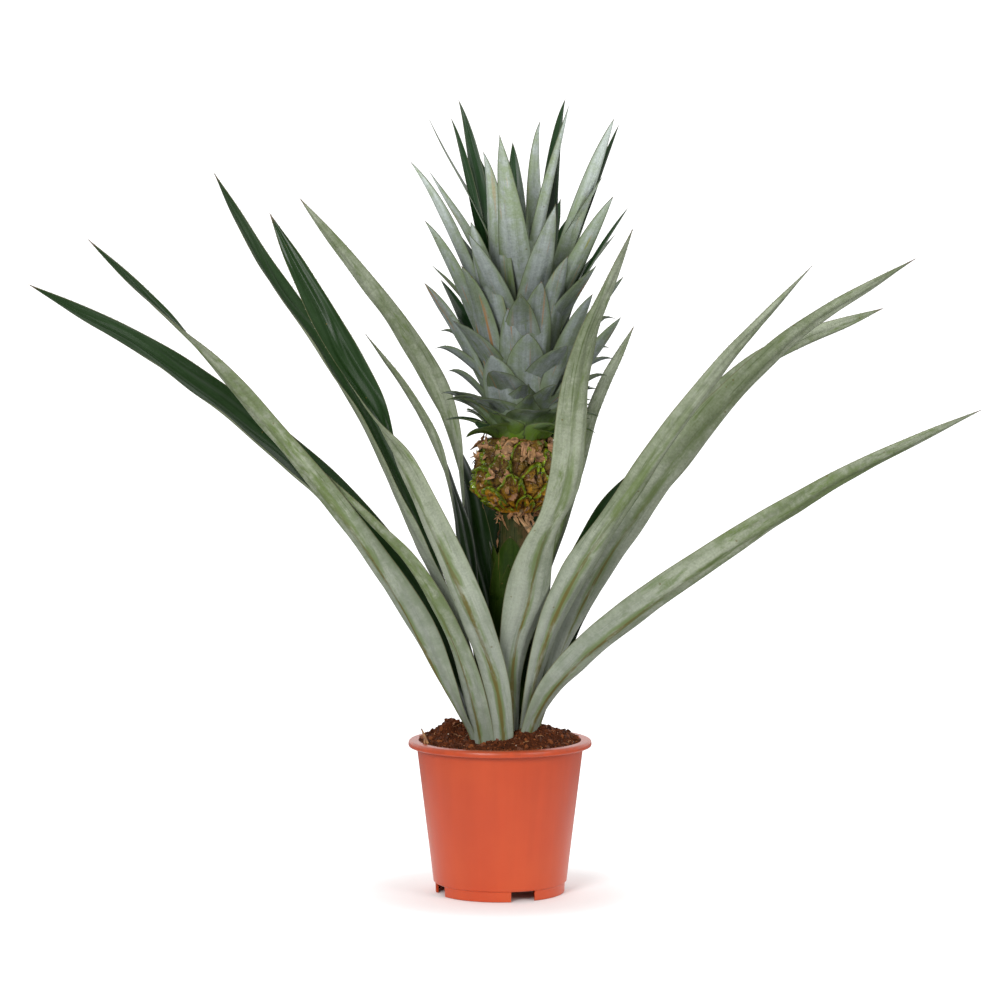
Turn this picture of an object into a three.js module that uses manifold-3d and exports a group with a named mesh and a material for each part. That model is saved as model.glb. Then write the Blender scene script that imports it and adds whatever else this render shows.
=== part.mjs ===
// A young pineapple plant in a nursery pot. Millimetres, +Z up; the pot stands on z = 0 and its axis is x = y = 0.
import * as THREE from "three";
import Module from "manifold-3d";

const wasm = await Module();
wasm.setup();

// ---------------------------------------------------------------- driving dimensions
const GAP = 0.3; // air left between pieces that touch
const DEGREE = Math.PI / 180;

const POT = {
  height: 100,
  rimRadius: 60,
  rimHeight: 4.4,
  wallTopRadius: 54.4,
  wallFootRadius: 43.6,
  wall: 1.6,
  footHeight: 7.2,
  footStep: 1.1,
  floor: 1.8,
  notches: 4,
  notchWidth: 16.5,
  firstNotch: 291,
  segments: 60,
};

const PLANT_X = 3; // the plant stands a little off the pot's axis

// The stem is stepped, so that each leaf has a level seat: whorl 0 is the outer one.
const STEM = {
  radius: 23,
  bottom: 62,
  whorls: [{ reach: 19.5, top: 90 }, { reach: 13.2, top: 96 }],
  top: 101,
  segments: 32,
};

const SOIL = {
  rimLevel: 94,
  crest: 106,
  crestDirection: 78,
  plantLevel: 96,
  socketRadius: 26,
  socketFloor: STEM.bottom - GAP,
  lumps: 1.3,
  outerRadius: 51.7,
  wallGap: 1.4,
  segments: 48,
};

const STALK = { bottomRadius: 8, topRadius: 9.4, leanX: 8, top: 246, rings: 8, segments: 20 };

const FRUIT = {
  x: 11,
  bottom: STALK.top,
  height: 49,
  radius: 30,
  bellyFrom: 0.14,
  bellyTo: 0.78,
  rows: 18,
  segments: 40,
  eyeRows: 5,
  eyesAround: 8,
  eyeBulge: 2.4,
  crownX: 14.5,
  coreBottomRadius: 17,
  coreTopRadius: 3,
  coreTop: 372,
};

// share: most of a turn, in radians, that half a leaf takes up near the stem. freeReach: where a leaf begins to
// leave the rosette and may channel and twist as it likes.
const LEAF = { rings: 15, across: 4, keel: 2.1, neck: 0.3, share: [0.33, 0.35], freeReach: 26 };

// The rosette. A leaf starts on whorl 0 (outer) or 1 (inner) of the stem, and its spine passes the points of
// `path`, each [azimuth in degrees, reach from the plant's axis, height]. full: widest half width.
// channel: how far round an arc the blade's half section bends, in degrees. turn: twist at a quarter of the
// length and at the tip.
const ROSETTE = {
  leaf_far_left: {
    whorl: 0, azimuth: 150, full: 17, channel: 62, turn: [-14, -46],
    path: [[151, 49, 153], [155, 92, 208], [161, 153, 278], [169, 227, 343], [176, 313, 397]],
  },
  leaf_left: {
    whorl: 0, azimuth: 190, full: 15.5, channel: 60, turn: [16, -75],
    path: [[189, 38, 134], [189, 76, 205], [192, 115, 260], [195, 174, 327], [199, 275, 426]],
  },
  leaf_front_left: {
    whorl: 0, azimuth: 229, full: 12.5, channel: 60, turn: [6, 10],
    path: [[226, 30, 132], [217, 50, 180], [205, 71, 220], [195, 96, 250], [187, 132, 288]],
  },
  leaf_front_centre: {
    whorl: 0, azimuth: 270, full: 14, channel: 56, turn: [0, -85],
    path: [[262, 34, 150], [247, 54, 195], [226, 68, 247], [207, 96, 320], [198, 120, 373], [190, 153, 443]],
  },
  leaf_front_right: {
    whorl: 0, azimuth: 312, full: 15, channel: 60, turn: [-30, -38],
    path: [[314, 32, 128], [322, 72, 172], [331, 136, 218], [341, 221, 274], [351, 308, 318]],
  },
  leaf_right: {
    whorl: 0, azimuth: 353, full: 17, channel: 60, turn: [-26, -40],
    path: [[354, 33, 150], [356, 63, 214], [357, 111, 283], [357, 185, 360], [357, 266, 414]],
  },
  leaf_back_right: {
    whorl: 0, azimuth: 33, full: 14, channel: 60, turn: [-10, -40],
    path: [[30, 32, 150], [22, 62, 215], [16, 110, 288], [13, 175, 347], [12, 258, 381]],
  },
  leaf_back: {
    whorl: 0, azimuth: 72, full: 13, channel: 56, turn: [0, 0],
    path: [[71, 32, 144], [70, 58, 200], [69, 92, 256], [68, 134, 306]],
  },
  leaf_back_left: {
    whorl: 0, azimuth: 111, full: 14, channel: 56, turn: [0, 0],
    path: [[106, 32, 148], [100, 54, 206], [94, 78, 252], [88, 104, 290], [84, 130, 318]],
  },
  leaf_inner_left: {
    whorl: 1, azimuth: 165, full: 10, channel: 62, turn: [0, 0],
    path: [[164, 17, 145], [165, 24, 205], [171, 34, 262], [174, 58, 317], [176, 92, 366]],
  },
  leaf_upper_left: {
    whorl: 1, azimuth: 207, full: 15, channel: 66, turn: [-8, -45],
    path: [[203, 30, 165], [194, 60, 234], [184, 90, 306], [179, 121, 357], [176, 158, 410], [176, 190, 470]],
  },
  leaf_front: {
    whorl: 1, azimuth: 291, full: 16, channel: 46, turn: [0, 8],
    path: [[291, 19, 150], [293, 42, 210], [297, 77, 272], [299, 96, 345], [302, 148, 432]],
  },
  leaf_upper_right: {
    whorl: 1, azimuth: 333.5, full: 15, channel: 62, turn: [-16, -6],
    path: [[333, 26, 160], [333, 52, 219], [335, 87, 271], [338, 138, 334], [343, 204, 410]],
  },
  leaf_inner_right: {
    whorl: 1, azimuth: 16, full: 10.5, channel: 56, turn: [-20, -50],
    path: [[17, 17, 150], [19, 27, 202], [20, 47, 262], [20, 65, 320], [20, 91, 370]],
  },
  leaf_inner_back_left: {
    whorl: 1, azimuth: 118, full: 14, channel: 56, turn: [0, 0],
    path: [[119, 17, 160], [122, 37, 229], [136, 51, 295], [154, 80, 368], [164, 141, 454]],
  },
};

// The crown, from its lowest leaf to its highest: each turns by the golden angle from the one before. Pairs are
// [lowest, highest]. lean: angle from the upright at the foot and at the tip. Every few leaves one swings in: its
// tip drops by up to `drop`, and near the top it stands closer to the axis by up to `gather`.
const CROWN = {
  leaves: 36,
  firstAzimuth: 176,
  goldenAngle: 137.508,
  footZ: [297, 366],
  tipZ: [297, 518],
  tipReach: [37, 70],
  halfWidth: [12.6, 9.4],
  belly: 2.4,
  share: 0.84,
  footLean: [40, 4],
  tipLean: [130, 22],
  swingStep: 0.37,
  swingStart: 0.3,
  drop: 14,
  gather: 46,
  gatherFrom: 0.78,
  channel: 0.42,
  keel: 1.1,
  rings: 7,
};

// Bracts that sheathe the stalk, each [azimuth, height of the foot, length].
const BRACTS = { halfWidth: 9.5, keel: 0.9, spread: 5.5, rings: 6, list: [
  [95, 128, 62],
  [268, 158, 58],
  [172, 188, 42],
  [350, 196, 40],
] };

// ---------------------------------------------------------------- helpers
const mix = (a, b, t) => a + (b - a) * t;
const clamp01 = (t) => Math.min(1, Math.max(0, t));
const ease = (t) => clamp01(t) * clamp01(t) * (3 - 2 * clamp01(t));

function meshFrom(vertices, triangles) {
  const geometry = new THREE.BufferGeometry();
  geometry.setAttribute("position", new THREE.Float32BufferAttribute(vertices.flat(), 3));
  geometry.setIndex(triangles.flat());
  geometry.computeVertexNormals();
  return geometry;
}

// Joins rings of equal length into a closed skin. Each end is closed by its own point.
function skin(rings, startPoint, endPoint) {
  const count = rings[0].length;
  const vertices = [startPoint, ...rings.flat(), endPoint];
  const last = vertices.length - 1;
  const at = (ring, i) => 1 + ring * count + (i % count);
  const triangles = [];
  for (let i = 0; i < count; i++) {
    triangles.push([0, at(0, i + 1), at(0, i)]);
    triangles.push([last, at(rings.length - 1, i), at(rings.length - 1, i + 1)]);
    for (let ring = 0; ring + 1 < rings.length; ring++) {
      triangles.push([at(ring, i), at(ring, i + 1), at(ring + 1, i + 1)]);
      triangles.push([at(ring, i), at(ring + 1, i + 1), at(ring + 1, i)]);
    }
  }
  return meshFrom(vertices, triangles);
}

// A turned solid whose radius and height may vary round the axis: profile(angle) gives rows of
// [radius, z, shift of the axis in x] between the two end points on the axis.
function turned(profile, segments, bottom, top) {
  const columns = [];
  for (let i = 0; i < segments; i++) columns.push(profile((i / segments) * 2 * Math.PI));
  const rings = columns[0].map((_, row) =>
    columns.map((column, i) => {
      const angle = (i / segments) * 2 * Math.PI;
      const [radius, z, dx = 0] = column[row];
      return [dx + radius * Math.cos(angle), radius * Math.sin(angle), z];
    }),
  );
  return skin(rings, bottom, top);
}

const toSolid = (geometry) => {
  const mesh = new wasm.Mesh({
    numProp: 3,
    vertProperties: new Float32Array(geometry.getAttribute("position").array),
    triVerts: new Uint32Array(geometry.getIndex().array),
  });
  mesh.merge();
  return new wasm.Manifold(mesh);
};

const toGeometry = (solid) => {
  const mesh = solid.getMesh();
  const geometry = new THREE.BufferGeometry();
  geometry.setAttribute("position", new THREE.BufferAttribute(mesh.vertProperties, 3));
  geometry.setIndex(new THREE.BufferAttribute(mesh.triVerts, 1));
  return geometry;
};

// ---------------------------------------------------------------- leaves
// A channelled blade along a curve. frame(t) gives { point, along, inward }, where inward faces the plant's
// axis; halfWidth(t) and bend(t) shape the section, and the blade ends in one point.
function blade({ frame, halfWidth, bend, keel, rings }) {
  const across = LEAF.across;
  const loops = [];
  for (let ring = 0; ring < rings; ring++) {
    const t = 1 - (1 - (ring / rings) ** 1.35) ** 1.1;
    const { point, along, inward } = frame(t);
    const sideways = new THREE.Vector3().crossVectors(inward, along).normalize();
    const half = halfWidth(t);
    const arc = Math.max(bend(t), 0.05);
    const radius = half / arc;
    const place = (a, depth) => {
      const spot = point.clone();
      spot.addScaledVector(sideways, (radius - depth) * Math.sin(a * arc));
      spot.addScaledVector(inward, radius - (radius - depth) * Math.cos(a * arc));
      return spot.toArray();
    };
    const thick = keel(t) / 2;
    const loop = [];
    for (let i = 0; i < across; i++) {
      const a = -1 + (2 * i) / across;
      loop.push(place(a, -thick * (1 - a * a)));
    }
    for (let i = 0; i < across; i++) {
      const a = 1 - (2 * i) / across;
      loop.push(place(a, thick * (1 - a * a)));
    }
    loops.push(loop);
  }
  const foot = frame(0).point.toArray();
  const tip = frame(1).point.toArray();
  return skin(loops, foot, tip);
}

const polar = (azimuth, reach, height, x = PLANT_X) =>
  new THREE.Vector3(
    x + reach * Math.cos(azimuth * DEGREE),
    reach * Math.sin(azimuth * DEGREE),
    height,
  );

function rosetteLeaf({ whorl, azimuth, full, channel, turn, path }) {
  const seat = STEM.whorls[whorl];
  const start = seat.top + GAP + LEAF.neck;
  const spine = new THREE.CatmullRomCurve3(
    [
      polar(azimuth, seat.reach, start),
      polar(azimuth, seat.reach + 1, start + 9),
      ...path.map((spot) => polar(...spot)),
    ],
    false,
    "centripetal",
  );
  spine.arcLengthDivisions = 400;
  const share = LEAF.share[whorl];
  const reachAt = (t) => {
    const point = spine.getPointAt(t);
    return Math.hypot(point.x - PLANT_X, point.y);
  };
  const frame = (t) => {
    const point = spine.getPointAt(t);
    const along = t === 0 ? new THREE.Vector3(0, 0, 1) : spine.getTangentAt(t);
    const angle = Math.atan2(point.y, point.x - PLANT_X);
    const sideways = new THREE.Vector3(Math.sin(angle), -Math.cos(angle), 0);
    sideways.addScaledVector(along, -sideways.dot(along)).normalize();
    const inward = new THREE.Vector3().crossVectors(sideways, along);
    const early = turn[0] * ease((reachAt(t) - LEAF.freeReach) / LEAF.freeReach);
    inward.applyAxisAngle(along, mix(early, turn[1], clamp01((t - 0.25) / 0.75) ** 2) * DEGREE);
    return { point, along, inward };
  };
  const halfWidth = (t) => {
    const grown = (full ** -4 + (share * reachAt(t)) ** -4) ** -0.25;
    const taper = 1 - clamp01((t - 0.25) / 0.75) ** 1.9;
    return grown * taper ** 0.8;
  };
  const bend = (t) => {
    const free = ease((reachAt(t) - LEAF.freeReach) / LEAF.freeReach);
    return mix(halfWidth(t) / reachAt(t), channel * DEGREE * mix(1, 0.6, t), free);
  };
  const keel = (t) => LEAF.keel * mix(1, 0.35, t);
  return blade({ frame, halfWidth, bend, keel, rings: LEAF.rings });
}

const coreFoot = FRUIT.bottom + FRUIT.height;
const coreRadius = (z) =>
  mix(FRUIT.coreBottomRadius, FRUIT.coreTopRadius, clamp01((z - coreFoot) / (FRUIT.coreTop - coreFoot)));

// A blade in one upright plane through x. foot and tip are [reach, z]; lean is the angle from the upright at each
// end, and pull how far, in parts of the span, each end holds to it.
function uprightBlade({ x, azimuth, foot, tip, lean, pull, halfWidth, bend, keel, rings }) {
  const spot = ([reach, z]) => new THREE.Vector2(reach, z);
  const start = spot(foot);
  const end = spot(tip);
  const span = start.distanceTo(end);
  const toward = (angle, length) => new THREE.Vector2(Math.sin(angle), Math.cos(angle)).multiplyScalar(length);
  const curve = new THREE.CubicBezierCurve(
    start,
    start.clone().add(toward(lean[0] * DEGREE, span * pull[0])),
    end.clone().sub(toward(lean[1] * DEGREE, span * pull[1])),
    end,
  );
  const out = new THREE.Vector3(Math.cos(azimuth * DEGREE), Math.sin(azimuth * DEGREE), 0);
  const lift = ({ x: reach, y: z }) => new THREE.Vector3(0, 0, z).addScaledVector(out, reach);
  const frame = (t) => {
    const along = lift(curve.getTangentAt(t)).normalize();
    const sideways = new THREE.Vector3(out.y, -out.x, 0);
    const point = lift(curve.getPointAt(t));
    point.x += x;
    return { point, along, inward: new THREE.Vector3().crossVectors(sideways, along) };
  };
  const reachAt = (t) => curve.getPointAt(t).x;
  return blade({
    frame,
    halfWidth: (t) => halfWidth(t, reachAt(t)),
    bend: (t) => bend(t, reachAt(t)),
    keel,
    rings,
  });
}

function crownLeaf(index) {
  const t = index / (CROWN.leaves - 1);
  const swing = 0.5 - 0.5 * Math.cos(2 * Math.PI * (index * CROWN.swingStep + CROWN.swingStart));
  const footZ = mix(...CROWN.footZ, t ** 1.55);
  const tipZ = mix(...CROWN.tipZ, t ** 1.3) - CROWN.drop * swing * t;
  const gathered = CROWN.gather * ease((t - CROWN.gatherFrom) / (1 - CROWN.gatherFrom)) * swing;
  const full = mix(...CROWN.halfWidth, t) + CROWN.belly * Math.sin(Math.PI * Math.min(1, t * 1.3));
  const halfWidth = (s, reach) => {
    const grown = (full ** -4 + (reach * CROWN.share) ** -4) ** -0.25;
    return grown * (1 - clamp01((s - 0.18) / 0.82) ** 1.6) ** 0.9;
  };
  const hug = (s, reach) => halfWidth(s, reach) / reach;
  return uprightBlade({
    x: FRUIT.crownX,
    azimuth: CROWN.firstAzimuth + index * CROWN.goldenAngle,
    foot: [coreRadius(footZ) + GAP + CROWN.keel / 2 + 0.1, footZ],
    tip: [mix(...CROWN.tipReach, t ** 0.7) - gathered, tipZ],
    lean: [mix(...CROWN.footLean, t ** 0.5), mix(...CROWN.tipLean, t ** 0.5)],
    pull: [0.42, mix(0.36, 0.3, t)],
    halfWidth,
    bend: (s, reach) => mix(hug(s, reach), Math.max(hug(s, reach), CROWN.channel), ease((s - 0.35) / 0.3)),
    keel: (s) => CROWN.keel * mix(1, 0.5, s),
    rings: CROWN.rings,
  });
}

// ---------------------------------------------------------------- pot, soil, stem, stalk, fruit
function pot() {
  const inner = (radius) => radius - POT.wall;
  const underLip = POT.height - POT.rimHeight;
  const lipIn = inner(POT.wallTopRadius);
  const profile = [
    [0, POT.footHeight],
    [POT.wallFootRadius - POT.footStep - POT.wall, POT.footHeight],
    [POT.wallFootRadius - POT.footStep - POT.wall - 0.2, 0],
    [POT.wallFootRadius - POT.footStep - 0.3, 0],
    [POT.wallFootRadius - POT.footStep, POT.footHeight - 0.8],
    [POT.wallFootRadius, POT.footHeight],
    [POT.wallTopRadius, underLip],
    [POT.rimRadius - 1.4, underLip],
    [POT.rimRadius - 0.3, underLip + 0.8],
    [POT.rimRadius, underLip + 2.2],
    [POT.rimRadius - 0.5, underLip + 3.6],
    [POT.rimRadius - 1.8, POT.height],
    [POT.wallTopRadius + 0.6, POT.height],
    [lipIn + 0.5, POT.height - 0.8],
    [lipIn, POT.height - 2.4],
    [inner(POT.wallFootRadius) - 0.6, POT.footHeight + POT.floor + 1],
    [inner(POT.wallFootRadius) - 2, POT.footHeight + POT.floor],
    [0, POT.footHeight + POT.floor],
  ];
  const points = profile.map(([r, z]) => new THREE.Vector2(r, z));
  let solid = toSolid(new THREE.LatheGeometry(points, POT.segments).rotateX(Math.PI / 2));
  for (let i = 0; i < POT.notches; i++) {
    const cut = wasm.Manifold.cube([14, POT.notchWidth, POT.footHeight * 2 - 1.2], true)
      .translate([POT.wallFootRadius - 1, 0, 0])
      .rotate([0, 0, POT.firstNotch + (i * 360) / POT.notches]);
    solid = solid.subtract(cut);
  }
  return toGeometry(solid);
}

const potInside = (z) => {
  const t = (z - POT.footHeight) / (POT.height - POT.rimHeight - POT.footHeight);
  return mix(POT.wallFootRadius, POT.wallTopRadius, t) - POT.wall;
};

const outward = (radius) => clamp01((radius - SOIL.socketRadius) / (SOIL.outerRadius - SOIL.socketRadius));

function soilTop(radius, angle) {
  const toRim = outward(radius);
  const towardCrest = 0.5 + 0.5 * Math.cos(angle - SOIL.crestDirection * DEGREE);
  const crest = mix(SOIL.plantLevel, SOIL.crest, towardCrest ** 0.8);
  const mound = mix(SOIL.plantLevel, crest, Math.sin(Math.PI * clamp01(toRim * 0.75) ** 0.8));
  const lumps = SOIL.lumps * (Math.sin(angle * 7 + radius * 0.31) + Math.sin(angle * 11 - radius * 0.47)) * 0.5;
  return mix(mound, SOIL.rimLevel, toRim ** 3) + lumps * Math.sin(Math.PI * toRim);
}

function soil() {
  const bottom = POT.footHeight + POT.floor + GAP;
  const topRadii = [SOIL.outerRadius, 49, 45, 40, 34, 29, SOIL.socketRadius];
  const profile = (angle) => [
    [potInside(bottom) - SOIL.wallGap - 2, bottom],
    [potInside(bottom + 2) - SOIL.wallGap, bottom + 2],
    ...topRadii.map((radius) => [radius, soilTop(radius, angle), PLANT_X * (1 - outward(radius))]),
    [SOIL.socketRadius, SOIL.socketFloor, PLANT_X],
  ];
  return turned(profile, SOIL.segments, [0, 0, bottom], [PLANT_X, 0, SOIL.socketFloor]);
}

function stem() {
  const [outer, inner] = STEM.whorls;
  const rows = [
    [STEM.radius - 4, STEM.bottom],
    [STEM.radius, STEM.bottom + 6],
    [STEM.radius, outer.top],
    [outer.reach - 3.2, outer.top],
    [outer.reach - 3.4, inner.top],
    [inner.reach - 2.6, inner.top],
    [inner.reach - 3, STEM.top],
  ];
  const profile = () => rows.map(([radius, z]) => [radius, z, PLANT_X]);
  return turned(profile, STEM.segments, [PLANT_X, 0, STEM.bottom], [PLANT_X, 0, STEM.top]);
}

const stalkX = (z) => PLANT_X + STALK.leanX * ease((z - STEM.top) / (STALK.top - STEM.top));

function stalk() {
  const rows = [];
  const bottom = STEM.top + GAP;
  for (let i = 0; i <= STALK.rings; i++) {
    const t = i / STALK.rings;
    const z = mix(bottom, STALK.top - GAP, t);
    rows.push([mix(STALK.bottomRadius, STALK.topRadius, t), z, stalkX(z)]);
  }
  const ends = [bottom, STALK.top - GAP].map((z) => [stalkX(z), 0, z]);
  return turned(() => rows, STALK.segments, ends[0], ends[1]);
}

function stalkBract([azimuth, footZ, length]) {
  const stalkRadius = mix(STALK.bottomRadius, STALK.topRadius, (footZ - STEM.top) / (STALK.top - STEM.top));
  const clear = stalkRadius + GAP + BRACTS.keel / 2 + 0.25;
  const halfWidth = (t) => BRACTS.halfWidth * (1 - clamp01((t - 0.3) / 0.7) ** 1.7) ** 0.8;
  return uprightBlade({
    x: stalkX(footZ),
    azimuth,
    foot: [clear, footZ],
    tip: [clear + BRACTS.spread, footZ + length],
    lean: [5, 9],
    pull: [0.3, 0.3],
    halfWidth,
    bend: (t, reach) => halfWidth(t) / reach,
    keel: (t) => BRACTS.keel * mix(1, 0.6, t),
    rings: BRACTS.rings,
  });
}

// Fruitlets stand on a diamond lattice: 1 in the middle of each, 0 in the furrows between them.
const fruitletAt = (angle, t) => {
  const around = (angle / (2 * Math.PI)) * FRUIT.eyesAround;
  const up = (t * FRUIT.eyeRows) / 2;
  return Math.sqrt(Math.abs(Math.sin(Math.PI * (around + up)) * Math.sin(Math.PI * (around - up))));
};

function fruit() {
  const profile = (angle) => {
    const rows = [];
    for (let i = 0; i <= FRUIT.rows; i++) {
      const t = i / FRUIT.rows;
      const belly = Math.sin(Math.PI * mix(FRUIT.bellyFrom, FRUIT.bellyTo, t)) ** 0.6;
      const furrow = FRUIT.eyeBulge * (1 - fruitletAt(angle, t)) * Math.sin(Math.PI * t) ** 0.4;
      rows.push([FRUIT.radius * belly - furrow, FRUIT.bottom + t * FRUIT.height, FRUIT.x]);
    }
    rows.push([coreRadius(coreFoot), coreFoot + 0.8, FRUIT.crownX]);
    rows.push([FRUIT.coreTopRadius, FRUIT.coreTop, FRUIT.crownX]);
    return rows;
  };
  return turned(profile, FRUIT.segments, [FRUIT.x, 0, FRUIT.bottom], [FRUIT.crownX, 0, FRUIT.coreTop]);
}

// ---------------------------------------------------------------- the plant
const COLOUR = {
  terracotta: new THREE.Color(0xc9583a),
  soil: new THREE.Color(0x3a2218),
  stem: new THREE.Color(0x8a7a4c),
  leaf: new THREE.Color(0x8c9c82),
  stalk: new THREE.Color(0x4c5a2c),
  fruit: new THREE.Color(0x7a6a28),
  crown: new THREE.Color(0x6f8a7c),
};

const plant = new THREE.Group();
plant.name = "potted_pineapple_plant";

function add(name, geometry, color, roughness) {
  const material = new THREE.MeshStandardMaterial({ color, roughness, metalness: 0 });
  const mesh = new THREE.Mesh(geometry, material);
  mesh.name = name;
  plant.add(mesh);
}

add("pot", pot(), COLOUR.terracotta, 0.45);
add("soil", soil(), COLOUR.soil, 0.95);
add("stem", stem(), COLOUR.stem, 0.8);
add("stalk", stalk(), COLOUR.stalk, 0.6);
add("fruit", fruit(), COLOUR.fruit, 0.5);
for (const [name, shape] of Object.entries(ROSETTE)) add(name, rosetteLeaf(shape), COLOUR.leaf, 0.55);
BRACTS.list.forEach((shape, i) => add(`stalk_bract_${i + 1}`, stalkBract(shape), COLOUR.stalk, 0.6));
for (let i = 0; i < CROWN.leaves; i++) {
  add(`crown_leaf_${String(i + 1).padStart(2, "0")}`, crownLeaf(i), COLOUR.crown, 0.55);
}

export default plant;
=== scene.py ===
"""A potted pineapple plant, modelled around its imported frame: pot, soil, rosette, stalk, fruit and crown."""
import math

import bmesh
import bpy
import numpy as np
from bpy.props import FloatProperty, FloatVectorProperty, IntProperty, PointerProperty
from mathutils import Matrix, Vector, noise


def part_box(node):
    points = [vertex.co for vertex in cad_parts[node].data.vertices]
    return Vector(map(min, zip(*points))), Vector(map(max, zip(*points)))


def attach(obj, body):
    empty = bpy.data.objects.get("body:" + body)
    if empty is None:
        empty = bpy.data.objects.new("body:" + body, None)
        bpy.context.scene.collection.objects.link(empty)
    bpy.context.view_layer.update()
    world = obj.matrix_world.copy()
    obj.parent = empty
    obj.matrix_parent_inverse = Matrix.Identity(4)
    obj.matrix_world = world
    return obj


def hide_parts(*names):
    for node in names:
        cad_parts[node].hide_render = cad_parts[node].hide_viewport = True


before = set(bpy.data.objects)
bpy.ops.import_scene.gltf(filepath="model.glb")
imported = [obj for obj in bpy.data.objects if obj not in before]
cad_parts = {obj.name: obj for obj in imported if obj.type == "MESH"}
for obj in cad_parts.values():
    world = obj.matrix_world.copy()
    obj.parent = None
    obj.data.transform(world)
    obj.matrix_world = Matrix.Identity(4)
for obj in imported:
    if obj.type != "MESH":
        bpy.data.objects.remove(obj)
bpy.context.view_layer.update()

bl_info = {
    "name": "Potted pineapple plant",
    "version": (1, 0, 0),
    "blender": (4, 5, 0),
    "location": "View3D > Sidebar > Plant",
    "description": "Builds a young pineapple plant in its nursery pot",
    "category": "Add Mesh",
}

BODY = "root"
MM = 0.001
GOLDEN = 0.618  # step between the seeds of one long leaf or crown leaf and the next, modulo 1
GOLDEN_ANGLE = 137.508  # degrees from one leaf or fruitlet to the next round the plant
PLANT_X = 3 * MM
POT_RIM, _, POT_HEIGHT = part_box("pot")[1]
FRUIT_LOW, FRUIT_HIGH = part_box("fruit")
FRUIT_X = (FRUIT_LOW.x + FRUIT_HIGH.x) / 2
FRUIT_BOTTOM, FRUIT_TOP = FRUIT_LOW.z + 3 * MM, 297 * MM
CROWN_X = FRUIT_X + 3.5 * MM
AXES = {"leaf": Vector((PLANT_X, 0)), "crown": Vector((CROWN_X, 0)), "stalk": Vector((FRUIT_X, 0))}
UP = Vector((0, 0, 1))


# ---------------------------------------------------------------- settings
def colour(name, description, default):
    return FloatVectorProperty(
        name=name, description=description, subtype="COLOR", size=3, min=0, max=1, default=default
    )


def length(name, description, default):
    return FloatProperty(
        name=name, description=description, subtype="DISTANCE", unit="LENGTH", default=default
    )


def number(name, description, default, **more):
    kind = IntProperty if isinstance(default, int) else FloatProperty
    return kind(name=name, description=description, default=default, **more)


class PlantColours(bpy.types.PropertyGroup):
    scurf: colour("Leaf scurf", "Silvery bloom on the outside of a leaf", (0.282, 0.312, 0.228))
    rubbed: colour("Rubbed leaf", "Leaf green where the scurf is rubbed off", (0.125, 0.175, 0.055))
    inner: colour("Leaf inside", "Glossy inside of a rosette leaf", (0.007, 0.028, 0.0025))
    # painted sheen: pale bands that stand for the gloss on the inside of a rosette leaf
    inner_sheen: colour("Leaf inside, pale", "Painted sheen on the inside of a rosette leaf", (0.022, 0.05, 0.016))
    keel: colour("Keel line", "Line along the middle of a leaf's outside", (0.125, 0.095, 0.022))
    margin: colour("Leaf margin", "Thin line along a leaf's margins", (0.13, 0.13, 0.065))
    base: colour("Leaf foot", "Leaf colour just above the soil", (0.285, 0.31, 0.295))
    crown: colour("Crown leaf", "Blue-grey bloom of a crown leaf", (0.20, 0.228, 0.218))
    crown_base: colour("Crown leaf foot", "Bright green at a crown leaf's foot", (0.105, 0.19, 0.012))
    dry: colour("Dried tissue", "Dry bracts and leaf tips", (0.42, 0.20, 0.09))
    eye: colour("Fruit eye", "Ripening skin inside a fruitlet", (0.56, 0.26, 0.01))
    fruit: colour("Fruit green", "Green rims of the fruitlets", (0.165, 0.235, 0.006))
    plastic: colour("Pot plastic", "Terracotta-coloured plastic", (0.49, 0.054, 0.0095))
    soil: colour("Soil", "Moist peat", (0.11, 0.027, 0.0065))


class BladeSizes(bpy.types.PropertyGroup):
    row: length("Row spacing", "Length of one row of faces along a leaf", 3.6 * MM)
    columns: number("Columns", "Faces across one side of a leaf", 14, min=4)
    ripple: length("Ripple", "How far a leaf's margins wave", 0.9 * MM)
    ridge: length("Keel ridge", "How far the keel stands out near a leaf's foot", 0.7 * MM)
    spine: length("Spine length", "Length of the margin spines", 1.1 * MM)
    spine_gap: length("Spine spacing", "Distance between margin spines", 4.6 * MM)


class PotSizes(bpy.types.PropertyGroup):
    wall: length("Wall", "Thickness of the pot's wall", 1.6 * MM)
    foot: length("Foot height", "Height of the floor above the table", 7.2 * MM)
    notch: length("Notch width", "Width of a drainage notch", 16.5 * MM)
    segments: number("Segments", "Faces round the pot", 180, min=24)


class SoilSizes(bpy.types.PropertyGroup):
    grain: length("Grain", "Size of the fine crumbs", 1.0 * MM)
    lump: length("Lump", "Size of the larger crumbs", 2.7 * MM)
    density: number("Crumb density", "Fine crumbs per square metre", 480000.0)
    seed: number("Seed", "Changes where the crumbs lie", 4, min=0)


class StageSettings(bpy.types.PropertyGroup):
    floor: colour("Floor", "Pale floor and backdrop", (0.93, 0.93, 0.93))
    key: number("Key light", "Power of the large soft light", 42.0, unit="POWER")
    fill: number("Fill light", "Power of the light on the other side", 20.0, unit="POWER")
    sky: number("Surround", "Strength of the even light from behind", 1.35, min=0)
    room: number("Room", "Light from the front as a share of the light from behind", 0.34, min=0, max=1,
                 subtype="FACTOR")


GROUPS = {"plant_colours": PlantColours, "plant_blades": BladeSizes, "plant_pot": PotSizes,
          "plant_soil": SoilSizes, "plant_stage": StageSettings}


def setting(group):
    return getattr(bpy.context.scene, group)


# ---------------------------------------------------------------- nodes
def is_socket(value):
    return isinstance(value, bpy.types.NodeSocket)


def scaled(tint, *by):
    """A colour times one number, or times a number for each of its channels."""
    return tuple(c * by[i % len(by)] for i, c in enumerate(tint))


def feed(node, inputs):
    """Links or sets a node's inputs, which are given by name or number."""
    for key, value in inputs.items():
        socket = node.inputs[key]
        if is_socket(value):
            node.id_data.links.new(value, socket)
        elif socket.type == "RGBA":
            socket.default_value = (*value, 1.0)
        else:
            socket.default_value = value


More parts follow.
